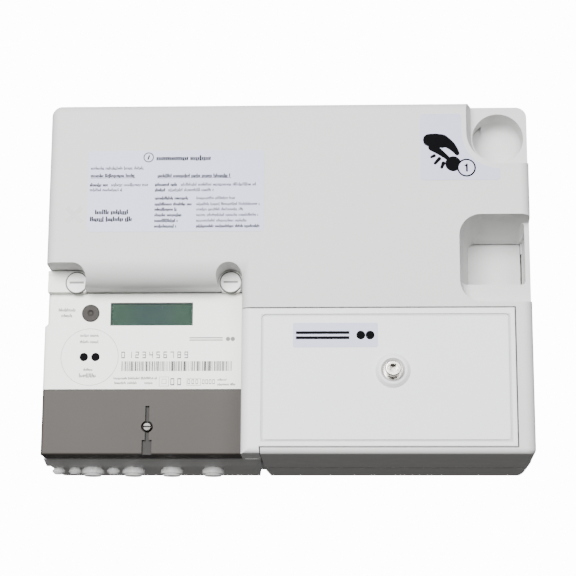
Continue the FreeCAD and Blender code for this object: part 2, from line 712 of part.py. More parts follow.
def cable_plugs():
    """The blanking plugs in the tray's cable holes: domed outside, with a neck through the wall."""
    surface = case_bottom
    large = []
    for across in big_plugs:
        rim = rod("up", across, plug_out, big_plug, surface - 2.2, surface)
        crown = cone("up", across, plug_out, big_plug - 1.6, big_plug - 0.9, surface - 3.5, surface - 2.2)
        neck = rod("up", across, plug_out, big_plug - 1, surface, surface + wall + 2)
        large.append(fuse(rim, crown, neck))
    node(group(*large), "cable_plugs_large")
    small = []
    for across in small_plugs:
        rim = rod("up", across, plug_out, small_plug, surface - 1.4, surface)
        crown = cone("up", across, plug_out, small_plug - 1.2, small_plug - 0.5, surface - 2.4,
                     surface - 1.4)
        neck = rod("up", across, plug_out, small_plug - 0.8, surface, surface + wall + 2)
        small.append(fuse(rim, crown, neck))
    node(group(*small), "cable_plugs_small")


# ---------------------------------------------------------------- coin entry and return

chute_left = dish_x - size("chute_reach", 54.0, "coin chute's left side from the dish's centre")
chute_right = cup_left - 3.8
chute_out = dish_floor - 5
channel_deep = coin_thickness + coin_play
channel_wide = coin_diameter + coin_play * 2
channel_left = chute_left + 3
channel_right = channel_left + channel_wide
chute_bottom = cash_top + 4
chute_top = dish_z + coin_diameter / 2 + coin_play + 3
entry_right = dish_x - dish_radius - 4.2
entry_bottom = dish_z - coin_diameter / 2 - coin_play
gate_low = cash_top + size("gate_rise", 40.6, "reject gate's window above the cash box")
gate_high = gate_low + size("gate_length", 22.0, "reject gate's window top to bottom")
gate_thick = size("gate_thick", 1.6, "reject gate's leaf")
gate_pin = size("gate_pin", 0.8, "pin of the reject gate")
plunger_z = gate_low + size("plunger_rise", 12.0, "plunger above the reject gate's lower edge")
plunger_x = (channel_left + channel_right) / 2
plunger_radius = size("plunger_radius", 2.5, "solenoid plunger")
coil_radius = size("coil_radius", 8.0, "coin sensor's and solenoid's coils")
coil_z = gate_high + size("coil_rise", 13.0, "coin sensor above the reject gate's window")

flap_left = cup_left + notch_lean + cup_lean - flap_lap
pocket_right = cup_right + strip_undercut
flap_right = pocket_right - flap_gap
flap_face = flap_out - flap_play
flap_pin_z = cup_top - notch_lean - cup_lean + flap_lap - flap_barrel
flap_pin_out = flap_face - flap_barrel

board_left = case_left + size("board_inset", 34.0, "control board from the case's left side")
board_right = chute_left - size("board_clear", 9.8, "control board to the coin chute")
board_bottom = meter_top + size("board_rise", 12.3, "control board above the meter bay")
board_top = case_top - size("board_drop", 9.5, "control board below the case's top")
post_inset = size("post_inset", 6.0, "control board's posts from its edges")
board_posts = [(across, up) for across in (board_left + post_inset, board_right - post_inset)
               for up in (board_bottom + post_inset, board_top - post_inset)]
cover_screw_places = [(foot_right + 7.6, cash_top - 5), (cash_right - 7, cash_top - 5)]


def coin_chute():
    """The coin channel from the dish to the cash box, its lid, and the window of the reject gate."""
    outline = [
        (chute_left, chute_bottom), (chute_right, chute_bottom), (chute_right, entry_bottom - 3),
        (entry_right, entry_bottom - 3), (entry_right, chute_top), (chute_left, chute_top),
    ]
    body = prism("front", outline, chute_out, dish_floor + channel_deep)
    channel = prism("front", [
        (channel_left, chute_bottom - 1), (channel_right, chute_bottom - 1), (channel_right, entry_bottom),
        (entry_right + 1, entry_bottom), (entry_right + 1, chute_top - 3), (channel_left, chute_top - 3),
    ], dish_floor, dish_floor + channel_deep + 1)
    window = block(channel_left, channel_right, chute_out - 1, dish_floor + 1, gate_low, gate_high)
    pin_bore = rod("across", chute_out + 1.6, gate_low + 1.6, gate_pin, chute_left - 1, chute_right + 1)
    coil_seat = rod("out", plunger_x, coil_z, coil_radius + 0.2, chute_out - 1, dish_floor - 1)
    node(cut(body, channel, window, pin_bore, coil_seat), "coin_chute_body")
    lid_out = dish_floor + channel_deep
    lid = prism("front", outline, lid_out, lid_out + 2)
    front_seat = rod("out", plunger_x, coil_z, coil_radius + 0.2, lid_out + 1, lid_out + 3)
    node(cut(lid, front_seat), "coin_chute_lid")
    coils = [rod("out", plunger_x, coil_z, coil_radius, dish_floor - 5.2, dish_floor - 1),
             rod("out", plunger_x, coil_z, coil_radius, lid_out + 1, lid_out + 5)]
    node(group(*coils), "coin_sensor_coils")
    screws = []
    for across, up in ((chute_left + 1.5, chute_bottom + 19.6), (chute_left + 1.5, entry_bottom - 6.15),
                       (chute_right - 1.3, gate_low + 8)):
        screws.append(rod("out", across, up, 2.2, lid_out + 2, lid_out + 3.6))
    node(group(*screws), "chute_screws")
    low = dish_z - 16.5
    high = dish_z - 2.5
    bracket = fuse(
        block(chute_left + 4, chute_right - 4, wall, wall + 2, low, high),
        block(chute_left + 4, chute_left + 6, wall + 2, chute_out, low, high),
        block(chute_right - 6, chute_right - 4, wall + 2, chute_out, low, high),
    )
    node(bracket, "chute_bracket")


def reject_gate():
    """The gate that tips into the channel to push a bad coin out, its pin, solenoid and plunger."""
    axis_out = chute_out + 1.6
    axis_z = gate_low + 1.6
    left = channel_left + 0.4
    right = channel_right - 0.4
    leaf = block(left, right, axis_out - 0.8, axis_out + gate_thick, axis_z, gate_high - 0.6)
    barrel = rod("across", axis_out, axis_z, 1.5, left, right)
    lug = block(plunger_x - 2, plunger_x + 2, axis_out - 2.6, axis_out, plunger_z - 1.5, plunger_z + 1.5)
    bore = rod("across", axis_out, axis_z, gate_pin + turn_play, left - 1, right + 1)
    node(cut(fuse(leaf, barrel, lug), bore), "reject_gate")
    node(rod("across", axis_out, axis_z, gate_pin, chute_left, chute_right), "gate_pin")
    tip = axis_out - 2.6
    start = tray_depth - 14
    end = tip - 5
    frame = cut(block(plunger_x - 10, plunger_x + 10, start, end, plunger_z - 10, plunger_z + 10),
                block(plunger_x - 8.5, plunger_x + 8.5, start + 2, end - 2, plunger_z - 11, plunger_z + 11),
                rod("out", plunger_x, plunger_z, plunger_radius + turn_play, start + 3, end + 1))
    foot = block(plunger_x - 10, plunger_x + 10, wall, start, plunger_z - 10, plunger_z - 4)
    node(fuse(frame, foot), "solenoid_frame")
    coil = cut(rod("out", plunger_x, plunger_z, coil_radius, start + 2, end - 2),
               rod("out", plunger_x, plunger_z, plunger_radius + turn_play, start + 6, end))
    node(coil, "solenoid_coil")
    plunger = rod("out", plunger_x, plunger_z, plunger_radius, start + 7, tip - 0.1)
    node(plunger, "solenoid_plunger")


def return_flap():
    """The coin return flap, hung on a pin at its top edge, and the pocket behind it."""
    back = flap_face - 2
    bottom = lip_top - 1.5
    leaf = block(flap_left, flap_right, back, flap_face, bottom, flap_pin_z)
    barrel = rod("across", flap_pin_out, flap_pin_z, flap_barrel, flap_left, flap_right)
    bore = rod("across", flap_pin_out, flap_pin_z, flap_pin_radius + turn_play, flap_left - 1,
               flap_right + 1)
    node(cut(fuse(leaf, barrel), bore), "return_flap")
    node(rod("across", flap_pin_out, flap_pin_z, flap_pin_radius, flap_left - 2.8, pocket_right),
         "flap_pin")
    left = flap_left - 3.5
    right = cup_right + 0.9
    low = lip_top - 5.2
    pocket = cut(
        block(left, right, wall, flap_out - 6, low, flap_pin_z + 6),
        block(left - 1, flap_right + 0.3, wall + 1.5, flap_out, low + 1.5, flap_pin_z + 4.5),
    )
    node(pocket, "return_pocket")
    ramp = prism("front", [
        (channel_left, gate_low - 5), (left, gate_low - 13), (left, gate_low - 11.5),
        (channel_left, gate_low - 3.5),
    ], tray_depth - 13, chute_out)
    beside_cup = block(chute_right, left + 1, flap_out - 1, chute_out + 1, lip_top, cup_top)
    node(cut(ramp, beside_cup), "return_ramp")


# ---------------------------------------------------------------- cash box and lock

lock_reach = cash_top - lock_z + 4
tray_box_left = foot_right + 16
tray_box_right = cash_right - 16


def cash_box_front():
    """The removable front of the cash box with its column, groove and the raised ring of the lock."""
    outline = [
        (meter_right, foot_bottom), (foot_right, foot_bottom), (foot_right, cash_bottom),
        (cash_right, cash_bottom), (cash_right, cash_top), (meter_right, cash_top),
    ]
    raw = prism("front", outline, cash_back, case_depth)
    face = (case_depth, case_depth)
    solid = soften(
        raw,
        (column_round, lambda edge: within(edge, across=(meter_right, meter_right), out=face)),
        (foot_round, lambda edge: within(edge, out=face, height=(foot_bottom, foot_bottom))),
        (0.6, lambda edge: within(edge, out=face)),
    )
    hollow = block(meter_right + wall, cash_right - wall, cash_back - 1, cover_inner,
                   cash_bottom + wall, cash_top - wall)
    foot_hollow = block(meter_right + wall, foot_right - wall, cash_back - 1, cover_inner - 3,
                        foot_bottom + wall, cash_bottom + wall)
    edge = 10.8
    low = cash_bottom + 2.5
    high = cash_top - 3.3
    groove = cut(
        prism("front", rectangle(meter_right + edge, cash_right - 2.6, low, high, (3,) * 4),
              case_depth - 0.7, case_depth + 1),
        prism("front", rectangle(meter_right + edge + 1.1, cash_right - 3.7, low + 1.1, high - 1.1,
                                 (2,) * 4), case_depth - 1, case_depth + 2))
    ring = fuse(rod("out", lock_x, lock_z, ring_radius, cover_inner, case_depth + 0.2),
                cone("out", lock_x, lock_z, ring_radius, ring_radius - 1.8, case_depth + 0.2, case_depth + 2.2))
    ring = soften(ring, (1.2, lambda edge: within(edge, out=(case_depth + 2.2, case_depth + 2.2))))
    seat = cone("out", lock_x, lock_z, lock_bush, lock_bush + 1.4, case_depth - 0.2, case_depth + 2.3)
    bore = rod("out", lock_x, lock_z, lock_bush, cash_back, case_depth + 1)
    notch = block(lock_x - 8, lock_x + 22, cash_back - 1, lock_arm_out + lock_arm_thick + 2,
                  cash_top - wall - 1, cash_top + 1)
    ribs = [block(across - 1, across + 1, cash_back + tray_sheet, cover_inner, cash_bottom + wall,
                  cash_bottom + 12)
            for across in (tray_box_left + 17.6, tray_box_right - 8)]
    body = cut(fuse(cut(solid, hollow, foot_hollow), ring, *ribs), groove, seat, bore, notch)
    return node(body, "cash_box_front")


def cash_tray():
    """The open-topped box behind the front that the coins drop into, with its rivets."""
    low = cash_bottom + 3
    high = cash_top - 9
    back = wall + 3
    thick = tray_sheet
    front_sheet = block(tray_box_left, tray_box_right, cash_back - thick, cash_back, low, high)
    tray = cut(block(tray_box_left, tray_box_right, back, cash_back, low, high),
               block(tray_box_left + thick, tray_box_right - thick, back + thick, cash_back - thick,
                     low + thick, high + 1))
    slot = rod("out", lock_x, lock_z, 8, cash_back - 3, cash_back + 1)
    flange = block(meter_right + wall, cash_right - wall, cash_back, cash_back + thick,
                   cash_bottom + wall, cash_bottom + wall + 6)
    node(cut(fuse(tray, front_sheet, flange), slot), "cash_tray")


def cash_lock():
    """The cam lock: bush and nut in the front, turning stud with a hexagon socket, arm and screw."""
    bore = lock_radius + turn_play
    bush = cut(rod("out", lock_x, lock_z, lock_bush, lock_arm_out + lock_arm_thick + 2, case_depth + 0.4),
               rod("out", lock_x, lock_z, bore, lock_arm_out, case_depth + 3))
    node(bush, "lock_bush")
    nut_low = cover_inner - 5
    nut = cut(prism("front", hexagon(lock_x, lock_z, 8.5), nut_low, cover_inner),
              rod("out", lock_x, lock_z, lock_bush, nut_low - 1, cover_inner + 1))
    node(nut, "lock_nut")
    stud = rod("out", lock_x, lock_z, lock_radius, lock_arm_out + lock_arm_thick, case_depth + 7.5)
    stud = soften(stud, (0.7, lambda edge: within(edge, out=(case_depth + 7.5, case_depth + 7.5))))
    square = block(lock_x - lock_square, lock_x + lock_square, lock_arm_out, lock_arm_out + lock_arm_thick + 1,
                   lock_z - lock_square, lock_z + lock_square)
    socket = prism("front", hexagon(lock_x, lock_z, 2.6), case_depth + 2.5, case_depth + 9)
    tapped = rod("out", lock_x, lock_z, 1.2, lock_arm_out - 1, lock_arm_out + 6)
    node(cut(fuse(stud, square), socket, tapped), "lock_stud")
    arm = cut(fuse(block(lock_x, lock_x + lock_reach, lock_arm_out, lock_arm_out + lock_arm_thick,
                         lock_z - 5, lock_z + 5),
                   rod("out", lock_x, lock_z, 6.5, lock_arm_out, lock_arm_out + lock_arm_thick)),
              block(lock_x - lock_square, lock_x + lock_square, lock_arm_out - 1, lock_arm_out + lock_arm_thick + 1,
                    lock_z - lock_square, lock_z + lock_square))
    node(arm, "lock_arm")
    screw = fuse(rod("out", lock_x, lock_z, 4, lock_arm_out - 2, lock_arm_out),
                 rod("out", lock_x, lock_z, 1.2, lock_arm_out, lock_arm_out + 5))
    node(screw, "lock_arm_screw")


def hexagon(across, height, radius):
    """The outline of a regular hexagon about a point."""
    angles = [math.radians(60 * index) for index in range(6)]
    return [(across + radius * math.cos(a), height + radius * math.sin(a)) for a in angles]


# ---------------------------------------------------------------- labels


def labels():
    """The three printed stickers: instructions, coin pictogram and the cash box badge."""
    on_face = case_depth + label_thick
    node(prism("front", rectangle(info_left, info_right, info_bottom, info_top, (2,) * 4), case_depth,
               on_face), "info_label")
    left = dish_x - 43.6
    bottom = dish_z - 27.5
    top = dish_z + 10.7
    reach = dish_radius + 6.7
    short = dish_x - reach
    outline = [
        (left + 2, bottom), (dish_x - 1.5, bottom, 1.5), (dish_x, bottom + 1.5),
        (dish_x, dish_z - reach, -reach), (short, dish_z), (short, top - 2, 2), (short - 2, top),
        (left + 2, top, 2), (left, top - 2), (left, bottom + 2, 2),
    ]
    node(prism("front", outline, case_depth, on_face), "coin_label")
    node(prism("front", rectangle(badge_left, badge_right, badge_bottom, badge_top, (1,) * 4), case_depth,
               on_face), "badge_label")


# ---------------------------------------------------------------- the meter

plate_left = meter_left + 3.4
plate_right = meter_right - meter_gap - 0.9
plate_top = meter_top - meter_gap
meter_right_side = meter_right - meter_gap
terminal_low = terminal_top + 0.3


def meter_openings(start, end):
    """The openings through the meter's front: display, button and the two optical windows."""
    tools = [block(lcd_left, lcd_right, start, end, lcd_bottom, lcd_top),
             rod("out", button_x, button_z, button_radius + turn_play, start, end)]
    for side in (-1, 1):
        tools.append(rod("out", port_x + side * port_pitch / 2, port_z, port_radius, start, end))
    return tools


def meter_case():
    """The meter's own base and cover, the printed plate and the display window."""
    top = plate_top
    base_top = seal_z - 6
    base = cut(block(meter_left + 1.8, meter_right_side - 1, wall, cover_back, terminal_low, base_top),
               block(meter_left + 3.8, meter_right_side - 3, wall + 2, cover_back + 1, terminal_low + 2,
                     base_top - 2))
    node(base, "meter_base")
    outline = [
        (meter_left, terminal_low), (meter_right_side, terminal_low), (meter_right_side, top),
        (meter_left + 1.7, top), (meter_left + 1.7, port_z + 19), (meter_left, port_z + 17.5),
    ]
    raw = prism("front", outline, cover_back, meter_face)
    shell = soften(raw, (1.5, lambda edge: within(edge, across=(meter_left, meter_left + 1.7),
                                                 out=(meter_face, meter_face))))
    hollow = block(meter_left + 3.7, meter_right_side - meter_wall, cover_back - 1,
                   meter_face - meter_wall, terminal_low + meter_wall, top - meter_wall)
    ear_start = meter_face - 13.7
    ear_end = ear_out
    reach = seal_radius + seal_gap + ear_wall
    ear_high = seal_z + reach
    left_ear = fuse(rod("out", seal_left_x, seal_z, reach, ear_start, ear_end),
                    block(meter_left + 1.9, seal_left_x, ear_start, ear_end, top - 1, ear_high))
    right_ear = rod("out", seal_right_x, seal_z, reach, ear_start, ear_end)
    below = block(case_left, meter_right, ear_start - 1, ear_end + 1, top - 12, top)
    tab = block(meter_left, meter_left + 5, ear_end - 0.5, ear_end + 1, seal_z + 0.6, seal_z + 4.6)
    shanks = [rod("out", across, seal_z, seal_shank + turn_play, ear_start - 1, ear_end + 1)
              for across in (seal_left_x, seal_right_x)]
    shanks += [rod("out", across, seal_z, seal_radius + seal_gap, ear_end - cap_sunk, ear_end + 1)
               for across in (seal_left_x, seal_right_x)]
    ears = cut(fuse(left_ear, right_ear), below, tab)
    body = cut(fuse(cut(shell, hollow), ears), *shanks,
               *meter_openings(meter_face - meter_wall - 1, meter_face + 1))
    node(body, "meter_cover")
    plate = prism("front", rectangle(plate_left, plate_right, terminal_low, top, (0.6,) * 4),
                  meter_face, meter_face + 0.4)
    node(cut(plate, *meter_openings(meter_face - 1, meter_face + 1)), "meter_plate")
    window = block(lcd_left, lcd_right, meter_face - meter_wall, meter_face + 0.1, lcd_bottom, lcd_top)
    node(window, "display_window")


def meter_inside():
    """What the meter holds: display, circuit board, button, optical parts, shunt and capacitor."""
    glass_out = meter_face - meter_wall
    node(block(lcd_left - 3, lcd_right + 3, glass_out - 2.8, glass_out, lcd_bottom - 3, lcd_top + 2.5),
         "lcd_panel")
    board = cover_back + 3
    node(block(meter_left + 5, meter_right_side - 4, board, board + board_thick, terminal_low + 4,
               plate_top - 3.5), "meter_board")
    node(group(*[block(across - 1.5, across + 1.5, board + board_thick, glass_out - 2.8, lcd_bottom,
                       lcd_top) for across in (lcd_left, lcd_right)]), "lcd_connectors")
    stem = rod("out", button_x, button_z, 2, board + 4.4, glass_out - 2)
    cap = rod("out", button_x, button_z, button_radius, glass_out - 2, meter_face + 1.2)
    cap = soften(fuse(stem, cap),
                 (0.5, lambda edge: within(edge, out=(meter_face + 1.2, meter_face + 1.2))))
    dimple = cone("out", button_x, button_z, 0.8, 2.0, meter_face + 0.6, meter_face + 1.3)
    node(cut(cap, dimple), "display_button")
    switch = block(button_x - 3, button_x + 3, board + board_thick, board + 3, button_z - 3, button_z + 3)
    node(switch, "button_switch")
    eyes = []
    for side in (-1, 1):
        across = port_x + side * port_pitch / 2
        dome = rod("out", across, port_z, port_radius - 0.1, board + board_thick, meter_face - 0.8)
        eyes.append(dome)
    node(group(*eyes), "optical_diodes")
    left = lcd_left + 0.5
    right = left + 38
    high = lcd_bottom - 8.8
    low = high - 12
    shunt = fuse(block(left, right, wall + 8, wall + 10, low, high),
                 block(left, left + 8, wall + 2, wall + 8, low, high),
                 block(right - 8, right, wall + 2, wall + 8, low, high))
    node(shunt, "current_shunt")
    node(rod("out", lcd_right + 10.3, lcd_bottom - 4.8, 8, board - 22, board), "supply_capacitor")


def seal_screws():
    """The two quarter-turn seal screws that hold the meter's cover: slotted caps on long shanks."""
    for label, across in (("seal_screw_left", seal_left_x), ("seal_screw_right", seal_right_x)):
        start = ear_out - cap_sunk
        end = ear_out + cap_proud
        cap = soften(rod("out", across, seal_z, seal_radius, start, end),
                     (0.5, lambda edge: within(edge, out=(end, end))))
        shank = rod("out", across, seal_z, seal_shank, wall + 12, start)
        slot = block(across - 4, across + 4, end - 0.9, end + 1, seal_z - 0.6, seal_z + 0.6)
        node(cut(fuse(cap, shank), slot), label)


def terminals():
    """The terminal block with its clamps and screws, and the cover over it."""
    left = meter_left + 6
    right = meter_right_side - 6
    low = meter_bottom + 10.2
    high = terminal_low - 3
    front = terminal_front
    pockets = []
    clamps = []
    screws = []
    wires = []
    pitch = (right - left) / 5
    for index in range(1, 5):
        across = left + pitch * index
        pockets.append(block(across - 6.5, across + 6.5, wall + 6, front + 1, low + 4, high - 2))
        wires.append(rod("up", across, wall + 16, 4.2, low - 1, low + 5))
        clamp = block(across - 6.5, across + 6.5, wall + 6, front - 6, low + 4, high - 2)
        tunnel = rod("up", across, wall + 16, 4.2, low, high)
        taps = [rod("out", across, low + 9, 2.4, wall + 16, front),
                rod("out", across, high - 7, 2.4, wall + 16, front)]
        clamps.append(cut(clamp, tunnel, *taps))
        for up in (low + 9, high - 7):
            head = rod("out", across, up, 3.4, front - 6, front - 3)
            shank = rod("out", across, up, 2.4, wall + 20.5, front - 6)
            slot = block(across - 4, across + 4, front - 4, front - 2, up - 0.5, up + 0.5)
            screws.append(cut(fuse(head, shank), slot))
    post = rod("out", term_screw_x, term_screw_z, 4, front, meter_face - 6)
    tapped = rod("out", term_screw_x, term_screw_z, 1.6, meter_face - 24, meter_face)
    body = cut(fuse(block(left, right, wall, front, low, high), post), *pockets, *wires, tapped)
    node(body, "terminal_block")
    node(group(*clamps), "terminal_clamps")
    node(group(*screws), "terminal_screws")

    skin = terminal_skin
    cover_start = tray_depth + 10.5
    raw = block(meter_left, meter_right_side - 0.6, cover_start, meter_face, meter_bottom, terminal_top)
    shell = soften(raw, (1.6, lambda edge: within(edge, across=(meter_left, meter_left),
                                                 out=(meter_face, meter_face))),
                   (1.0, lambda edge: within(edge, out=(meter_face, meter_face),
                                             height=(meter_bottom, meter_bottom))))
    hollow = block(meter_left + 2, meter_right_side - 2.6, cover_start - 1, meter_face - skin,
                   meter_bottom + 2, terminal_top + 1)
    out = meter_face + 1
    well = rod("out", term_screw_x, term_screw_z, 3.3, meter_face - skin + 1, out)
    hole = rod("out", term_screw_x, term_screw_z, 1.9, meter_face - skin - 1, out)
    upper = block(term_screw_x - 1.1, term_screw_x + 1.1, meter_face - 1.8, out, term_screw_z,
                  term_screw_z + 11.5)
    lower = block(term_screw_x - 1.1, term_screw_x + 1.1, meter_face - 1.8, out, term_screw_z - 8,
                  term_screw_z)
    mouth = block(term_screw_x - 2.7, term_screw_x + 2.7, meter_face - 1.8, out, meter_bottom - 1,
                  term_screw_z - 7.4)
    node(cut(shell, hollow, well, hole, upper, lower, mouth), "terminal_cover")
    head = rod("out", term_screw_x, term_screw_z, 2.75, meter_face - skin + 1, meter_face + 0.2)
    head = soften(head, (0.8, lambda edge: within(edge, out=(meter_face + 0.2, meter_face + 0.2))))
    shank = rod("out", term_screw_x, term_screw_z, 1.6, meter_face - 20, meter_face - skin + 1)
    slot = block(term_screw_x - 3, term_screw_x + 3, meter_face - 0.9, meter_face + 1,
                 term_screw_z - 0.45, term_screw_z + 0.45)
    node(cut(fuse(head, shank), slot), "terminal_cover_screw")


# ---------------------------------------------------------------- electronics in the case


def electronics():
    """The coin controller: its board, power transformer, relay, capacitors, and the load contactor."""
    face = board_out + board_thick
    left = board_left
    low = board_bottom
    high = board_top
    holes = [rod("out", across, up, 1.6, board_out - 1, face + 1) for across, up in board_posts]
    node(cut(block(left, board_right, board_out, face, low, high), *holes), "control_board")
    node(group(*[rod("out", across, up, 2.8, face, face + 2) for across, up in board_posts]), "board_screws")
    node(block(left + 6, left + 40, face, face + 26, high - 46, high - 16), "transformer_core")
    node(block(left + 12, left + 34, face + 26, face + 33, high - 42, high - 20), "transformer_coil")
    cans = ((54, 14, 6, 20), (69, 14, 6, 20), (82, 12, 4, 12))
    node(group(*[rod("out", left + across, high - down, radius, face, face + tall)
                 for across, down, radius, tall in cans]), "board_capacitors")
    node(block(left + 92, left + 120, face, face + 16, high - 28, high - 14), "board_relay")
    node(block(left + 52, left + 114, face, face + 34, low + 4, low + 44), "load_contactor")
    node(block(left + 4, left + 44, face, face + 12, low + 12, low + 22), "board_connector")


def build():
    """Every piece of the meter, then the checks, then the files."""
    rear_tray()
    front_cover()
    cover_screws()
    supply_lamp()
    cable_plugs()
    coin_chute()
    reject_gate()
    return_flap()
    cash_box_front()
    cash_tray()
    cash_lock()
    labels()
    meter_case()
    meter_inside()
    seal_screws()
    terminals()
    electronics()
    doc.recompute()


build()

for obj in doc.Objects:
    bad = [state for state in obj.State if state in ("Invalid", "Error")]
    if bad:
        raise RuntimeError(f"{obj.Name} {obj.Label} is {bad}")

os.makedirs("parts", exist_ok=True)
for piece in pieces:
    if piece.Shape.isNull() or not piece.Shape.isValid() or not piece.Shape.Solids:
        raise RuntimeError(f"{piece.Label} has no valid solid")
    piece.Shape.exportStep(f"parts/{piece.Label}.step")
    box = piece.Shape.BoundBox
    print(f"{piece.Label:22s} {len(piece.Shape.Solids)} solids {piece.Shape.Volume:10.1f} mm3 "
          f"{box.XMin:7.1f}..{box.XMax:6.1f} {-box.YMax:6.1f}..{-box.YMin:5.1f} "
          f"{box.ZMin:7.1f}..{box.ZMax:6.1f}")
print(len(pieces), "pieces")
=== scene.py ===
import math

import bpy
import numpy as np
from mathutils import Matrix, Vector


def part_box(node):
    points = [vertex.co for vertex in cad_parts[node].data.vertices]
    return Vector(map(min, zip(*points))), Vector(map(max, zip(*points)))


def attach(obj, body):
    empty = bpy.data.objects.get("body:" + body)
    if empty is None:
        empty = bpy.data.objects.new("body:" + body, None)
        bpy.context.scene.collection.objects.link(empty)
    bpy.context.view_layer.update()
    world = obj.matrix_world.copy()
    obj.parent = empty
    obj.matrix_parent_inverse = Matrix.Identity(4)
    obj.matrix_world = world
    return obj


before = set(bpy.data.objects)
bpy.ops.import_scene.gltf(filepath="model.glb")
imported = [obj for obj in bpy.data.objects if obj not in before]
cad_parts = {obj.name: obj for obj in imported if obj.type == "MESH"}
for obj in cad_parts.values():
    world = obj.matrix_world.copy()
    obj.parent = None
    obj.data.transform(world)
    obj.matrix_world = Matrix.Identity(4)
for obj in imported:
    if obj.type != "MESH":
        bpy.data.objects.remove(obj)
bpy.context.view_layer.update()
MM = 0.001

# --- The studio ---------------------------------------------------------
# The meter hangs on a wall, so the camera stands about a metre in front of
# it and below its lower edge, and looks up. The floor lies well below.
SENSOR_WIDTH = 36.0
LENS = 109.375
CAMERA_PLACE = Vector((0.038687, -1.009879, -0.221428))
CAMERA_TURN = math.radians(2.3)
CAMERA_RISE = math.radians(13.0)
CAMERA_ROLL = math.radians(0.3)
FLOOR_HEIGHT = -0.42
BACKDROP = 14.0
FLOOR_RADIUS = 2.4

ahead = Vector((
    -math.sin(CAMERA_TURN) * math.cos(CAMERA_RISE),
    math.cos(CAMERA_TURN) * math.cos(CAMERA_RISE),
    math.sin(CAMERA_RISE),
))
level = ahead.cross(Vector((0, 0, 1))).normalized()
upright = level.cross(ahead)
right_hand = level * math.cos(CAMERA_ROLL) + upright * math.sin(CAMERA_ROLL)
overhead = upright * math.cos(CAMERA_ROLL) - level * math.sin(CAMERA_ROLL)
lens = bpy.data.cameras.new("camera")
lens.sensor_width = SENSOR_WIDTH
lens.lens = LENS
lens.clip_start = 0.01
camera = bpy.data.objects.new("camera", lens)
camera.matrix_world = Matrix((
    (right_hand.x, overhead.x, -ahead.x, CAMERA_PLACE.x),
    (right_hand.y, overhead.y, -ahead.y, CAMERA_PLACE.y),
    (right_hand.z, overhead.z, -ahead.z, CAMERA_PLACE.z),
    (0, 0, 0, 1),
))
bpy.context.scene.collection.objects.link(camera)
bpy.context.scene.camera = camera


class Wire:
    """An output socket. An arithmetic sign on it adds a Math node and gives that node's output."""

    def __init__(self, finish, socket):
        self.finish, self.socket = finish, socket

    def _sum(self, operation, first, second):
        return self.finish.node("ShaderNodeMath", {"operation": operation}, {0: first, 1: second})

    def __add__(self, other):
        return self._sum("ADD", self, other)

    def __sub__(self, other):
        return self._sum("SUBTRACT", self, other)

    def __rsub__(self, other):
        return self._sum("SUBTRACT", other, self)

    def __mul__(self, other):
        return self._sum("MULTIPLY", self, other)

    def __truediv__(self, other):
        return self._sum("DIVIDE", self, other)

    def __abs__(self):
        return self._sum("ABSOLUTE", self, 0)

    __radd__, __rmul__ = __add__, __mul__


class Finish:
    """A material being written. node() adds any node: its settings, then its sockets' values or links."""

    def __init__(self, name, tree=None):
        if tree is None:
            self.material = bpy.data.materials.new(name)
            self.material.use_nodes = True
            tree = self.material.node_tree
        self.tree = tree
        tree.nodes.clear()

    def node(self, kind, settings=None, sockets=None, output=0):
        made = self.tree.nodes.new(kind)
        for key, value in (settings or {}).items():
            setattr(made, key, value)
        for key, value in (sockets or {}).items():
            if isinstance(value, Wire):
                self.tree.links.new(value.socket, made.inputs[key])
            else:
                made.inputs[key].default_value = value
        return Wire(self, made.outputs[output])

    def between(self, low, high, value):
        """value taken from low..high to 0..1, smoothly, and held there outside."""
        return self.node(
            "ShaderNodeMapRange", {"interpolation_type": "SMOOTHSTEP"},
            {"Value": value, "From Min": low, "From Max": high},
        )

    def noise(self, place, per_metre, detail=2.0, stretch=(1, 1, 1)):
        """Noise in 0..1 with about per_metre lumps to the metre, squeezed by stretch on each axis."""
        if stretch != (1, 1, 1):
            place = self.node("ShaderNodeMapping", {}, {"Vector": place, "Scale": stretch})
        return self.node("ShaderNodeTexNoise", {}, {"Vector": place, "Scale": per_metre, "Detail": detail})

    def mix(self, factor, first, second):
        """The colour first where factor is 0 and second where it is 1."""
        socket = {0: factor, 6: first if isinstance(first, Wire) else (*first, 1.0),
                  7: second if isinstance(second, Wire) else (*second, 1.0)}
        return self.node("ShaderNodeMix", {"data_type": "RGBA"}, socket, output=2)

    def bump(self, height, depth):
        """The normal of a surface whose relief is height, in 0..1, times depth in metres."""
        return self.node("ShaderNodeBump", {}, {"Height": height, "Distance": depth, "Strength": 1.0})

    def surface(self, **sockets):
        named = {key.replace("_", " "): value for key, value in sockets.items()}
        shader = self.node("ShaderNodeBsdfPrincipled", {}, named)
        end = self.tree.nodes.new("ShaderNodeOutputMaterial")
        self.tree.links.new(shader.socket, end.inputs["Surface"])
        return self


def shade(colour, factor):
    """The colour with each part times factor, held at 1."""
    return tuple(min(1.0, part * factor) for part in colour)


def wear(finish, *nodes):
    """The named CAD nodes carry this finish."""
    for node in nodes:
        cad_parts[node].data.materials.clear()
        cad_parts[node].data.materials.append(finish.material)


def surface_piece(name, points, finish, body):
    """A mesh from patches, rows x columns x 3 each: neighbours on a patch's grid are joined by quads."""
    points = np.atleast_1d(points)
    if points.ndim == 3:
        points = points[None]
    patches, rows, columns, _ = points.shape
    index = np.arange(patches * rows * columns).reshape(patches, rows, columns)
    corners = [index[:, :-1, :-1], index[:, :-1, 1:], index[:, 1:, 1:], index[:, 1:, :-1]]
    quads = np.stack(corners, -1).reshape(-1, 4)
    mesh = bpy.data.meshes.new(name)
    mesh.from_pydata(points.reshape(-1, 3).tolist(), [], quads.tolist())
    mesh.validate()
    mesh.polygons.foreach_set("use_smooth", np.full(len(mesh.polygons), False))
    mesh.materials.append(finish.material)
    piece = bpy.data.objects.new(name, mesh)
    bpy.context.scene.collection.objects.link(piece)
    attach(piece, body)
    return piece


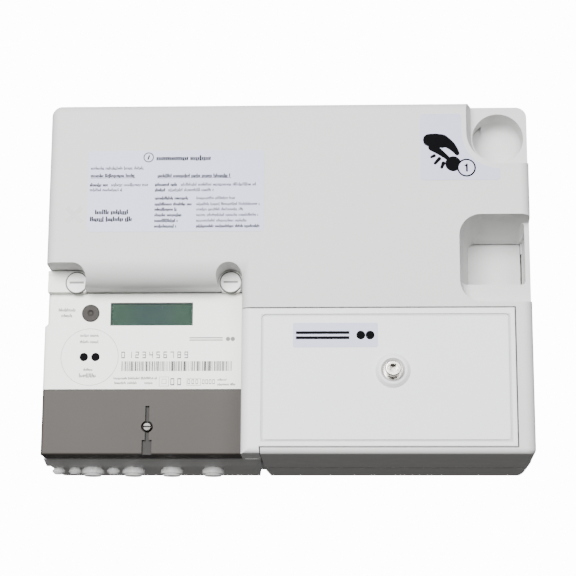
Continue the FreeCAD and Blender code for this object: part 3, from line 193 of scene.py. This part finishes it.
room = Finish("floor_paint")
place = room.node("ShaderNodeTexCoord", output="Object")
mottle = room.noise(place, 6.0, 4.0)
room.surface(Base_Color=room.mix(mottle, (0.80, 0.80, 0.80), (0.86, 0.86, 0.86)), Roughness=0.8)
turn = np.linspace(0, math.tau, 96, endpoint=False)
floor_mesh = bpy.data.meshes.new("floor")
rim = [(FLOOR_RADIUS * math.cos(a), FLOOR_RADIUS * math.sin(a), FLOOR_HEIGHT) for a in turn]
floor_mesh.from_pydata(rim, [], [list(range(len(rim)))])
floor_mesh.materials.append(room.material)
floor = bpy.data.objects.new("floor", floor_mesh)
bpy.context.scene.collection.objects.link(floor)
floor.visible_diffuse = False
floor.visible_glossy = False

# --- The sky and the lamps ---------------------------------------------
# A large soft box in front, above and to the left, a weaker one at the
# right, and a pale surround that is bright overhead and dim underneath.
LAMPS = (
    ("key", (-0.40, -1.60, 0.36), 0.8, 60.0),
    ("fill", (0.60, -1.65, 0.30), 0.8, 20.0),
    ("back", (0.1, 1.5, 1.2), 1.2, 30.0),
)
for name, spot, width, watts in LAMPS:
    lamp = bpy.data.lights.new(name, "AREA")
    lamp.shape, lamp.size, lamp.energy = "DISK", width, watts
    holder = bpy.data.objects.new(name, lamp)
    holder.location = spot
    holder.rotation_euler = (-Vector(spot)).to_track_quat("-Z", "Y").to_euler()
    bpy.context.scene.collection.objects.link(holder)

world = bpy.data.worlds.new("surround")
world.use_nodes = True
sky = Finish("surround", world.node_tree)
heading = sky.node("ShaderNodeTexCoord", output="Generated")
height = sky.node("ShaderNodeSeparateXYZ", {}, {"Vector": heading}, output="Z")
glow = sky.mix(sky.between(-0.05, 0.75, height), (0.17, 0.168, 0.165), (0.62, 0.63, 0.64))
seen = sky.node("ShaderNodeLightPath", output="Is Camera Ray")
surround = {"Color": sky.mix(seen, glow, (1.0, 1.0, 1.0)), "Strength": seen * (BACKDROP - 1.0) + 1.0}
backdrop = sky.node("ShaderNodeBackground", {}, surround)
world_end = world.node_tree.nodes.new("ShaderNodeOutputWorld")
world.node_tree.links.new(backdrop.socket, world_end.inputs["Surface"])
bpy.context.scene.world = world

# --- The case -----------------------------------------------------------
# A deep front cover over a shallow rear tray, both moulded in a light grey
# plastic with a fine spark-eroded texture, screwed together from the front.
CASE_GREY = (0.600, 0.600, 0.594)


EDGE_WEAR = 1.5 * MM
# Painted shade: the near-black colour laid into recesses, and how fully it covers where a mask marks them.
PAINTED_SHADE = (0.012, 0.011, 0.010)
PAINTED_SHADE_STRENGTH = 0.92


def moulded(name, colour, rough=0.5, drift=0.025, grain=0.00002, lumps=1500.0, edges=None, shine=0.3,
            painted_shade=None):
    """Moulded plastic: the colour drifts a little over a hand's width and a fine grain breaks the gloss.

    edges names the CAD node whose outline is rubbed. The last argument gives the mask of painted shade, laid in
    near-black where recesses and hollows are.
    """
    finish = Finish(name)
    place = finish.node("ShaderNodeTexCoord", output="Object")
    slow = finish.noise(place, 14.0, 3.0)
    specks = finish.noise(place, 420.0, 2.0)
    fine = finish.noise(place, lumps, 3.0)
    ripple = finish.noise(place, 60.0, 1.0)
    paint = finish.mix(slow, shade(colour, 1 - drift), shade(colour, 1 + drift))
    soiled = finish.between(0.66, 0.80, specks) * finish.between(0.50, 0.62, slow)
    paint = finish.mix(soiled * 0.22, paint, shade(colour, 0.72))
    rubbed = 0.0
    if edges:
        low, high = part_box(edges)
        x = finish.node("ShaderNodeSeparateXYZ", {}, {"Vector": place}, output="X")
        z = finish.node("ShaderNodeSeparateXYZ", {}, {"Vector": place}, output="Z")
        side = abs(x - (low.x + high.x) / 2) - (high.x - low.x) / 2
        top = abs(z - (low.z + high.z) / 2) - (high.z - low.z) / 2
        border = finish.node("ShaderNodeMath", {"operation": "MAXIMUM"}, {0: side, 1: top})
        patchy = finish.between(0.45, 0.65, finish.noise(place, 130.0, 4.0))
        rubbed = finish.between(-EDGE_WEAR, -EDGE_WEAR * 0.2, border) * patchy
        paint = finish.mix(rubbed * 0.35, paint, shade(colour, 1.12))
    # Painted shade: near-black colour laid where the mask marks recesses and hollows.
    if painted_shade:
        paint = finish.mix(painted_shade(finish, place) * PAINTED_SHADE_STRENGTH, paint, PAINTED_SHADE)
    gloss = (fine - 0.5) * 0.12 + (slow - 0.5) * 0.08 + rough
    normal = finish.bump(fine * 0.7 + ripple * 0.3, grain)
    return finish.surface(Base_Color=paint, Roughness=gloss, Normal=normal, Specular_IOR_Level=shine)


def shade_below_face(node, rim=1.0):
    """The mask of painted shade on a round piece: what lies behind its face, and a thin ring at the face's rim,
    where shade falls.
    """
    low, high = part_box(node)
    reach = (high.x - low.x) / 2

    def mask(finish, place):
        parts = [finish.node("ShaderNodeSeparateXYZ", {}, {"Vector": place}, output=axis) for axis in "XYZ"]
        across, up = parts[0] - (low.x + high.x) / 2, parts[2] - (low.z + high.z) / 2
        inner, outer = (rim * reach - 0.8 * MM) ** 2, (rim * reach - 0.3 * MM) ** 2
        ringed = finish.between(inner, outer, across * across + up * up)
        return finish.between(low.y + 0.0003, low.y + 0.0012, parts[1]) + ringed

    return mask


case_plastic = moulded("case_plastic", CASE_GREY, rough=0.52, edges="front_cover")
wear(case_plastic, "front_cover", "rear_tray", "return_flap")

SCREW_ZINC = (0.58, 0.58, 0.57)


MARK_DEPTH = 0.000008


def plated(name, colour, rough=0.3, brushed=(1, 1, 12), painted_shade=None):
    """Plated or cut metal: fine turning marks, a slow change of tone, and dull patches from handling."""
    finish = Finish(name)
    place = finish.node("ShaderNodeTexCoord", output="Object")
    marks = finish.noise(place, 260.0, 4.0, brushed)
    patches = finish.noise(place, 70.0, 3.0)
    tone = finish.mix(finish.between(0.35, 0.75, patches), shade(colour, 0.88), shade(colour, 1.06))
    tone = finish.mix(marks * 0.25, tone, shade(colour, 0.75))
    # Painted shade: near-black colour laid where the mask marks recesses and hollows.
    if painted_shade:
        tone = finish.mix(painted_shade(finish, place) * PAINTED_SHADE_STRENGTH, tone, PAINTED_SHADE)
    gloss = (marks - 0.5) * 0.22 + finish.between(0.5, 0.8, patches) * 0.14 + rough
    return finish.surface(Base_Color=tone, Metallic=1.0, Roughness=gloss, Normal=finish.bump(marks, MARK_DEPTH))


zinc = plated("zinc_plate", SCREW_ZINC, rough=0.32)
wear(zinc, "cover_screws", "board_screws", "chute_screws", "terminal_screws")
wear(zinc, "gate_pin", "flap_pin", "lock_arm_screw")

# --- The supply lamp ----------------------------------------------------
# A small cross-shaped lens of translucent plastic in the cover, with a red
# lamp on a narrow board behind it.
lens_plastic = moulded("lens_plastic", (0.46, 0.455, 0.445), rough=0.34, drift=0.015, lumps=900.0)
wear(lens_plastic, "supply_lamp_lens")
lamp_resin = moulded("lamp_resin", (0.42, 0.03, 0.02), rough=0.22, drift=0.05, lumps=500.0)
wear(lamp_resin, "supply_lamp_led")

# --- The printed labels -------------------------------------------------
# Vinyl stickers with a satin varnish. Their printing is thin ink: rows of
# plain strokes in place of words, and a hand that drops a coin.
INK_BLACK = (0.0015, 0.0015, 0.002)
INK_GREY = (0.022, 0.022, 0.024)
INK_LIFT = 0.04 * MM
label_film = Finish("label_film")
place = label_film.node("ShaderNodeTexCoord", output="Object")
sheet_tone = label_film.noise(place, 25.0, 3.0)
fibres = label_film.noise(place, 700.0, 4.0, (1, 1, 3))
label_film.surface(
    Base_Color=label_film.mix(sheet_tone, (0.47, 0.48, 0.64), (0.50, 0.51, 0.67)),
    Roughness=(fibres - 0.5) * 0.16 + 0.42, Normal=label_film.bump(fibres, 0.000010),
)
wear(label_film, "info_label", "coin_label", "badge_label")


def printed_ink(name, colour):
    """Screen-printed ink: nearly even, with small starved spots."""
    finish = Finish(name)
    place = finish.node("ShaderNodeTexCoord", output="Object")
    starved = finish.between(0.60, 0.75, finish.noise(place, 2600.0, 2.0))
    tone = finish.mix(starved * 0.5, colour, shade(colour, 3.0))
    return finish.surface(Base_Color=tone, Roughness=starved * 0.2 + 0.6, Specular_IOR_Level=0.03)


black_ink = printed_ink("black_ink", INK_BLACK)
grey_ink = printed_ink("grey_ink", INK_GREY)
pale_ink = printed_ink("pale_ink", (0.22, 0.22, 0.22))


def strokes(boxes):
    """Patches for bars: each row is a rectangle's left, right, top and bottom, in mm from a corner."""
    boxes = np.array(boxes, float).reshape(-1, 4)
    across = np.stack([boxes[:, 0], boxes[:, 1]], 1)[:, None, :].repeat(2, 1)
    down = np.stack([boxes[:, 3], boxes[:, 2]], 1)[:, :, None].repeat(2, 2)
    return np.stack([across, down], -1)


def words(left, right, down, tall, bold=False):
    """Bars that stand for a line of words: uprights of changing height and rails, in groups, centred on down."""
    chance = np.random.default_rng(int(abs(left * 31 + down * 17 + right * 7)))
    step = tall * 0.36
    count = max(2, int((right - left) / step))
    start = left + np.arange(count) * step
    breaks = np.cumsum(chance.integers(8, 18, count))
    kept = ~np.isin(np.arange(count), breaks)
    height = tall * chance.choice([0.62, 0.62, 0.66, 1.0], count)
    width = tall * (0.27 if bold else 0.19)
    base = down + tall / 2
    upright = np.stack([start, start + width, base - height, np.full(count, base)], 1)[kept]
    rail_down = base - tall * chance.choice([0.08, 0.34, 0.62], count)
    rail_end = rail_down + tall * (0.20 if bold else 0.15)
    rail = np.stack([start, start + step * 0.9, rail_down, rail_end], 1)
    return np.concatenate([upright, rail[kept & (chance.random(count) > 0.3)]])


SEGMENTS = {
    "a": (0, 1, 0, .14), "b": (.84, 1, 0, .52), "c": (.84, 1, .48, 1), "d": (0, 1, .86, 1),
    "e": (0, .16, .48, 1), "f": (0, .16, 0, .52), "g": (0, 1, .43, .57),
}
DIGITS = ["abcdef", "bc", "abged", "abgcd", "fgbc", "afgcd", "afgedc", "abc", "abcdefg", "abcdfg"]


def digits(numbers, left, down, tall, pitch):
    """Bars for digits in the seven-stroke style of a counter, pitch apart, tall high, centred on down."""
    wide = tall * 0.52
    rows = [
        (left + i * pitch + x0 * wide, left + i * pitch + x1 * wide,
         down + (z0 - 0.5) * tall, down + (z1 - 0.5) * tall)
        for i, number in enumerate(numbers)
        for x0, x1, z0, z1 in (SEGMENTS[s] for s in DIGITS[number])
    ]
    return np.array(rows)


def on_sheet(flat, corner, lift=INK_LIFT):
    """Flat patches in mm right of and below a corner, laid just in front of it, each a hair above the last."""
    flat = np.asarray(flat, float)
    spots = np.empty(flat.shape[:-1] + (3,))
    spots[..., 0] = corner[0] + flat[..., 0] * MM
    order = np.arange(len(flat)).reshape(-1, *[1] * (flat.ndim - 2))
    spots[..., 1] = corner[1] - lift * (1 + 0.02 * order / len(flat))
    spots[..., 2] = corner[2] - flat[..., 1] * MM
    return spots


def sheet_corner(node):
    """The upper left front corner of a sheet."""
    low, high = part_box(node)
    return (low.x, low.y, high.z)


def ring(centre, inner, outer, steps=72):
    """A flat ring: radius goes from inner to outer and the angle once round, the last column on the first."""
    angle = np.linspace(0, math.tau, steps + 1)
    radius = np.array([inner, outer])[:, None]
    return np.stack([centre[0] + radius * np.cos(angle), centre[1] + radius * np.sin(angle)], -1)[None]


def band(path, half, steps=24):
    """A blunt brush stroke: a smooth curve through path, half wide on each side, with round ends."""
    path, half = np.array(path, float), np.array(half, float)
    knots = np.linspace(0, 1, len(path))
    along = np.linspace(0, 1, steps)
    degree = min(2, len(path) - 1)
    curve = np.stack([np.polyval(np.polyfit(knots, path[:, i], degree), along) for i in (0, 1)], 1)
    wide = np.interp(along, knots, half)
    heading = np.gradient(curve, axis=0)
    heading /= np.linalg.norm(heading, axis=1)[:, None]
    cap = np.linspace(-1, 0, 8)[:-1]
    first = curve[0] + heading[0] * cap[:, None] * wide[0]
    last = curve[-1] - heading[-1] * cap[::-1][:, None] * wide[-1]
    spine = np.concatenate([first, curve, last])
    width = np.concatenate([wide[0] * np.sqrt(1 - cap ** 2), wide, wide[-1] * np.sqrt(1 - cap[::-1] ** 2)])
    ahead_of = np.concatenate([np.repeat(heading[:1], 7, 0), heading, np.repeat(heading[-1:], 7, 0)])
    normal = np.stack([-ahead_of[:, 1], ahead_of[:, 0]], 1)
    return np.stack([spine - normal * width[:, None], spine + normal * width[:, None]], 0)[None]


def printed(name, patches, sheet, ink, body="case", layers=1.0):
    """A printed piece: patches as on_sheet takes them, that many layers of ink above the sheet."""
    return surface_piece(name, on_sheet(patches, sheet, INK_LIFT * layers), ink, body)


info = sheet_corner("info_label")
info_lines = [
    words(37.7, 68.5, 4.2, 2.9, True), words(1.3, 26.2, 14.2, 2.0, True), words(38.5, 79.3, 14.4, 2.0, True),
    [(1.3, 26.2, 15.5, 15.75)], [(38.5, 79.3, 15.7, 15.95)],
    words(1.0, 11.5, 19.5, 2.0, True), words(37.2, 50.0, 19.5, 2.0, True), words(37.2, 43.0, 22.6, 2.0, True),
    words(4.3, 22.9, 35.1, 2.7, True), words(1.6, 25.2, 39.1, 2.7, True),
    words(60.3, 95.9, 43.3, 1.8, True),
]
BOLD_ENDS = ((56.3, 27.3), (58.0, 30.7), (50.1, 33.7), (52.9, 36.9), (50.4, 40.1), (50.0, 43.3))
info_lines += [words(37.2, end, down, 1.9, True) for end, down in BOLD_ENDS]
printed("info_bold_print", strokes(np.concatenate(info_lines)), info, black_ink)
info_fine = [
    words(1.3, 30.8, 9.9, 1.9), words(13.0, 34.0, 19.5, 1.9), words(1.0, 19.3, 22.4, 1.8),
    words(51.5, 93.7, 19.5, 1.9), words(44.5, 70.4, 22.6, 1.9),
]
FINE_ENDS = ((82.2, 27.3), (95.3, 30.7), (86.5, 33.7), (94.9, 36.9), (88.7, 40.1))
info_fine += [words(60.3, end, down, 1.8) for end, down in FINE_ENDS]
printed("info_fine_print", strokes(np.concatenate(info_fine)), info, black_ink)
printed("info_mark_ring", ring((33.3, 3.9), 2.35, 2.85), info, black_ink)
printed("info_mark_dot", band([(33.7, 2.9), (33.0, 4.9)], (0.35, 0.35)), info, black_ink)

coin = sheet_corner("coin_label")
hand = [
    band([(5.0, 15.2), (8.5, 15.4), (12.0, 15.9)], (3.6, 4.0, 3.9)),
    band([(11.5, 15.3), (16.5, 18.2), (20.2, 22.9)], (3.5, 2.5, 1.3)),
    band([(6.6, 19.3), (11.8, 23.0), (16.0, 26.6)], (2.3, 1.6, 1.0)),
    band([(6.0, 25.0), (7.6, 24.2)], (0.7, 0.9)),
    band([(8.0, 28.6), (10.4, 25.9)], (0.8, 1.0)),
    band([(11.6, 31.0), (12.6, 28.6)], (0.8, 1.1)),
]
NUMBER_PLACE = (25.2, 31.2)
numeral = [(24.9, 25.9, 28.9, 33.5), (24.1, 25.1, 29.5, 30.3)]
printed("coin_hand_print", np.concatenate(hand), coin, black_ink)
printed("coin_disc_print", ring((17.9, 28.9), 0.0, 4.3), coin, black_ink, layers=1.4)
printed("coin_number_field", ring(NUMBER_PLACE, 0.0, 4.7), coin, label_film, layers=1.8)
printed("coin_number_ring", ring(NUMBER_PLACE, 4.3, 5.15), coin, black_ink, layers=2.2)
printed("coin_number_print", strokes(numeral), coin, black_ink, layers=2.2)

badge = sheet_corner("badge_label")
badge_bars = [(1.6, 30.5, 4.6, 6.2), (1.6, 30.5, 7.4, 9.0)]
badge_discs = [ring((across, 6.8), 0.0, 2.4) for across in (36.6, 41.6)]
printed("badge_bars_print", strokes(badge_bars), badge, black_ink, "cash_box")
printed("badge_disc_print", np.concatenate(badge_discs), badge, black_ink, "cash_box")

# --- The cash box -------------------------------------------------------
# A grey moulded front with a shallow groove round its panel, and behind it a
# folded steel tray that catches the coins.
def groove_shade_mask(finish, place):
    """The mask of painted shade in the panel's groove: a line round a rectangle, soft at both sides."""
    low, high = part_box("cash_box_front")
    left, right, bottom, top = low.x + 11.4 * MM, high.x - 3.2 * MM, low.z + 6.6 * MM, high.z - 3.9 * MM
    x, z = (finish.node("ShaderNodeSeparateXYZ", {}, {"Vector": place}, output=axis) for axis in "XZ")
    side = abs(x - (left + right) / 2) - (right - left) / 2
    rise = abs(z - (bottom + top) / 2) - (top - bottom) / 2
    border = finish.node("ShaderNodeMath", {"operation": "MAXIMUM"}, {0: side, 1: rise})
    return (1.0 - finish.between(0.0002, 0.0010, abs(border))) * 0.35


DOOR_GREY = (0.78, 0.785, 0.785)
# The groove round the door's panel carries a line of painted shade.
door_plastic = moulded("door_plastic", DOOR_GREY, rough=0.45, edges="cash_box_front", painted_shade=groove_shade_mask)
wear(door_plastic, "cash_box_front")
tray_steel = plated("tray_steel", (0.60, 0.60, 0.59), rough=0.38, brushed=(1, 8, 8))
wear(tray_steel, "cash_tray", "solenoid_frame", "chute_bracket")

# --- The lock -----------------------------------------------------------
# A nickel-plated stud with a hexagon socket stands out of a plated bush and
# turns a steel arm behind the front.
nickel = plated("nickel_plate", (0.56, 0.53, 0.49), rough=0.20, brushed=(1, 20, 1))
wear(nickel, "lock_stud", "lock_bush")
wear(tray_steel, "lock_arm", "lock_nut")

# --- The coin return and the coin chute --------------------------------
# The flap hangs on a steel pin in front of the pocket. The chute is moulded
# in a natural acetal, with a lid and a coil round the coin's channel.
acetal = moulded("natural_acetal", (0.66, 0.65, 0.60), rough=0.38, drift=0.03, lumps=800.0)
wear(acetal, "coin_chute_body", "reject_gate", "return_pocket", "return_ramp")
wear(acetal, "board_connector", "lcd_connectors")
lid_plastic = moulded("lid_plastic", (0.58, 0.60, 0.60), rough=0.30, drift=0.02, lumps=800.0)
wear(lid_plastic, "coin_chute_lid")


WAVE_PITCH = 0.314


def winding(name, colour, wire):
    """Enamelled wire wound in layers: a ridge for each turn of wire, slightly uneven from turn to turn, with
    painted shade in the troughs between turns and a painted highlight on their crests.
    """
    finish = Finish(name)
    place = finish.node("ShaderNodeTexCoord", output="Object")
    ridges = {"Vector": place, "Scale": WAVE_PITCH / wire, "Distortion": 0.6, "Detail": 1.0}
    turns = finish.node("ShaderNodeTexWave", {"bands_direction": "Z"}, ridges)
    # Painted shade and highlight: the colour darkens in the troughs between turns and lightens on the crests.
    tone = finish.mix(turns, shade(colour, 0.45), shade(colour, 1.15))
    relief = finish.bump(turns, wire * 0.4)
    return finish.surface(
        Base_Color=tone, Metallic=0.85, Roughness=turns * -0.15 + 0.42, Normal=relief, Coat_Weight=0.4,
    )


copper = winding("copper_winding", (0.62, 0.26, 0.12), 0.0004)
wear(copper, "coin_sensor_coils", "solenoid_coil", "transformer_coil")
plunger_steel = plated("plunger_steel", (0.55, 0.55, 0.55), rough=0.25, brushed=(1, 14, 1))
wear(plunger_steel, "solenoid_plunger")

# --- The meter ----------------------------------------------------------
# A warm white meter with a printed front plate, a green display behind a
# clear window, a soft grey button and two dark windows for a reading head.
METER_WHITE = (0.90, 0.90, 0.86)
meter_plastic = moulded(
    "meter_plastic", METER_WHITE, rough=0.42, drift=0.012, grain=0.000012, edges="meter_cover",
)
wear(meter_plastic, "meter_cover", "meter_base")
plate_film = moulded(
    "plate_film", shade(METER_WHITE, 1.01), rough=0.36, drift=0.010, grain=0.000006, lumps=2200.0,
)
wear(plate_film, "meter_plate")
cap_plastic = moulded("cap_plastic", (0.90, 0.90, 0.89), rough=0.40, drift=0.015, edges="cable_plugs_large")
wear(cap_plastic, "cable_plugs_large", "cable_plugs_small")
# Each seal cap carries painted shade behind its face and in a ring at its rim.
for cap in ("seal_screw_left", "seal_screw_right"):
    wear(moulded(cap + "_plastic", (0.88, 0.88, 0.86), rough=0.40, drift=0.015, painted_shade=shade_below_face(cap)), cap)
button_rubber = moulded(
    "button_rubber", (0.030, 0.026, 0.023), rough=0.62, drift=0.06, grain=0.00003, lumps=1100.0,
)
wear(button_rubber, "display_button")
smoked = moulded("smoked_window", (0.003, 0.003, 0.004), rough=0.55, drift=0.2, grain=0.000004, shine=0.02)
wear(smoked, "optical_diodes")

window = Finish("window_clear")
place = window.node("ShaderNodeTexCoord", output="Object")
haze = window.noise(place, 90.0, 3.0)
window.surface(
    Base_Color=(0.75, 0.85, 0.82, 1.0), Roughness=haze * 0.08 + 0.04, Specular_IOR_Level=0.1,
    Alpha=haze * 0.02 + 0.02, Normal=window.bump(haze, 0.00002),
)
wear(window, "display_window")

display = Finish("display_glass")
place = display.node("ShaderNodeTexCoord", output="Object")
low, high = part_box("lcd_panel")
x = display.node("ShaderNodeSeparateXYZ", {}, {"Vector": place}, output="X")
z = display.node("ShaderNodeSeparateXYZ", {}, {"Vector": place}, output="Z")
middle = 1.0 - display.between(0.05, 0.36, abs((x - (low.x + high.x) / 2) / (high.x - low.x)))
tint = display.mix(middle, (0.008, 0.046, 0.024), (0.008, 0.036, 0.030))
cells = display.noise(place, 3500.0, 1.0)
display.surface(
    Base_Color=display.mix(cells * 0.15, tint, (0.03, 0.065, 0.05)), Specular_IOR_Level=0.05,
    Roughness=cells * 0.1 + 0.4, Normal=display.bump(cells, 0.000004),
)
wear(display, "lcd_panel")

plate = (0.0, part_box("meter_plate")[0].y, 0.0)
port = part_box("optical_diodes")
port_x, port_z = (port[0].x + port[1].x) / 2 / MM, -(port[0].z + port[1].z) / 2 / MM
plate_grey = [
    words(-127.5, -117.8, 14.1, 1.9), words(-125.9, -119.1, 17.3, 1.9),
    words(port_x - 5.6, port_x + 5.3, 28.6, 1.7), words(port_x - 5.6, port_x + 5.3, 32.2, 1.7),
    words(port_x - 3.2, port_x + 2.2, 47.9, 1.6), words(port_x - 5.6, port_x + 4.8, 51.2, 2.2),
    digits([0, 1, 2, 3, 4, 5, 6, 7, 8, 9], -91.7, 39.8, 3.7, 3.9),
    words(-95.7, -71.5, 52.8, 1.4), words(-95.2, -82.4, 55.4, 1.4), words(-78.5, -73.9, 55.4, 1.4),
    digits([0, 0], -64.1, 54.9, 3.9, 3.8), digits([0, 0, 0], -54.6, 54.9, 2.5, 2.2),
    digits([0, 0, 0, 0], -46.6, 54.9, 2.5, 1.9),
    words(-38.2, -32.7, 53.7, 1.2), words(-38.2, -28.0, 56.3, 1.4),
]
frames = [(-70.4, -65.0, 52.1, 57.4), (-68.9, -66.4, 53.4, 56.0), (-55.1, -47.4, 53.0, 57.0)]
outline = [
    side for l, r, t, b in frames
    for side in ((l, r, t, t + 0.15), (l, r, b - 0.15, b), (l, l + 0.15, t, b), (r - 0.15, r, t, b))
]
fine_print = strokes(np.concatenate(plate_grey + [outline]))
printed("plate_fine_print", fine_print, plate, grey_ink)
chance = np.random.default_rng(11)
bar_pitch = np.cumsum(chance.choice([0.42, 0.62, 0.85], 120))
bars = -91.9 + bar_pitch[bar_pitch < 61.6]
bar_ends = bars + chance.choice([0.2, 0.3, 0.42], len(bars))
bar_rows = np.stack([bars, bar_ends, np.full(len(bars), 43.4), np.full(len(bars), 48.9)], 1)
printed("plate_bar_print", strokes(bar_rows), plate, grey_ink)
port_ring = ring((port_x, port_z), 15.85, 16.05, 120)
printed("plate_port_ring", port_ring, plate, pale_ink)
plate_bars = [(-54.0, -35.5, 29.9, 30.5), (-54.0, -35.5, 31.2, 31.8)]
printed("plate_badge_print", strokes(plate_bars), plate, pale_ink)
plate_discs = [ring((across, 30.9), 0.0, 1.2, 36) for across in (-32.6, -29.9)]
printed("plate_badge_discs", np.concatenate(plate_discs), plate, pale_ink)

# --- The terminals ------------------------------------------------------
# A black block with brass clamps under a taupe cover that one sealed screw
# holds. White plugs close the cable holes below.


def keyway_shade_mask(finish, place):
    """The mask of painted shade in the keyway: what lies behind the cover's face, close to the screw's line."""
    low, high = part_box("terminal_cover_screw")
    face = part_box("terminal_cover")[0].y
    x, y = (finish.node("ShaderNodeSeparateXYZ", {}, {"Vector": place}, output=axis) for axis in "XY")
    near = 1.0 - finish.between(0.0050, 0.0060, abs(x - (low.x + high.x) / 2))
    return near * finish.between(face + 0.0003, face + 0.0012, y) * 0.8


TAUPE = (0.051, 0.045, 0.040)
# The terminal cover carries painted shade in the keyway behind its face.
taupe = moulded("terminal_plastic", TAUPE, rough=0.60, drift=0.02, edges="terminal_cover", painted_shade=keyway_shade_mask)
wear(taupe, "terminal_cover")
black = moulded("black_moulding", (0.030, 0.030, 0.031), rough=0.45, drift=0.1, lumps=900.0)
# The cover screw carries painted shade behind its face and in a ring inside its rim.
screw_shade_mask = shade_below_face("terminal_cover_screw", 0.9)
dull_screw = plated("dull_screw", (0.11, 0.105, 0.10), rough=0.42, painted_shade=screw_shade_mask)
wear(dull_screw, "terminal_cover_screw")
wear(black, "terminal_block", "load_contactor", "board_relay", "button_switch")
wear(black, "supply_capacitor", "board_capacitors")
brass = plated("clamp_brass", (0.70, 0.52, 0.24), rough=0.26, brushed=(1, 1, 20))
wear(brass, "terminal_clamps", "current_shunt")

# --- The boards ---------------------------------------------------------
# Glass-fibre boards under green solder mask, and a transformer with a core
# of thin pressed sheets.
board = Finish("board_mask")
place = board.node("ShaderNodeTexCoord", output="Object")
cloth = {"Vector": place, "Scale": 400.0, "Distortion": 0.4}
weave = board.node("ShaderNodeTexWave", {"bands_direction": "DIAGONAL"}, cloth)
upright_place = board.node("ShaderNodeMapping", {}, {"Vector": place, "Rotation": (math.radians(90), 0, 0)})
routes = {"Vector": upright_place, "Scale": 160.0, "Mortar Size": 0.03}
tracks = board.node("ShaderNodeTexBrick", {"offset": 0.37}, routes, output="Fac")
mask_green = board.mix(weave * 0.3, (0.012, 0.085, 0.030), (0.018, 0.125, 0.045))
board.surface(
    Base_Color=board.mix(tracks * 0.7, mask_green, (0.045, 0.21, 0.075)),
    Roughness=weave * 0.06 + 0.28, Normal=board.bump(tracks, 0.00003), Coat_Weight=0.3,
)
wear(board, "control_board", "meter_board", "lamp_board")
core = Finish("core_sheets")
place = core.node("ShaderNodeTexCoord", output="Object")
CORE_SHEET = 0.5 * MM
stack = {"Vector": place, "Scale": WAVE_PITCH / CORE_SHEET, "Distortion": 0.2}
sheets = core.node("ShaderNodeTexWave", {"bands_direction": "X"}, stack)
core.surface(
    Base_Color=core.mix(sheets, (0.10, 0.10, 0.11), (0.34, 0.34, 0.36)), Metallic=0.9,
    Roughness=sheets * 0.15 + 0.4, Normal=core.bump(sheets, 0.0001),
)
wear(core, "transformer_core")
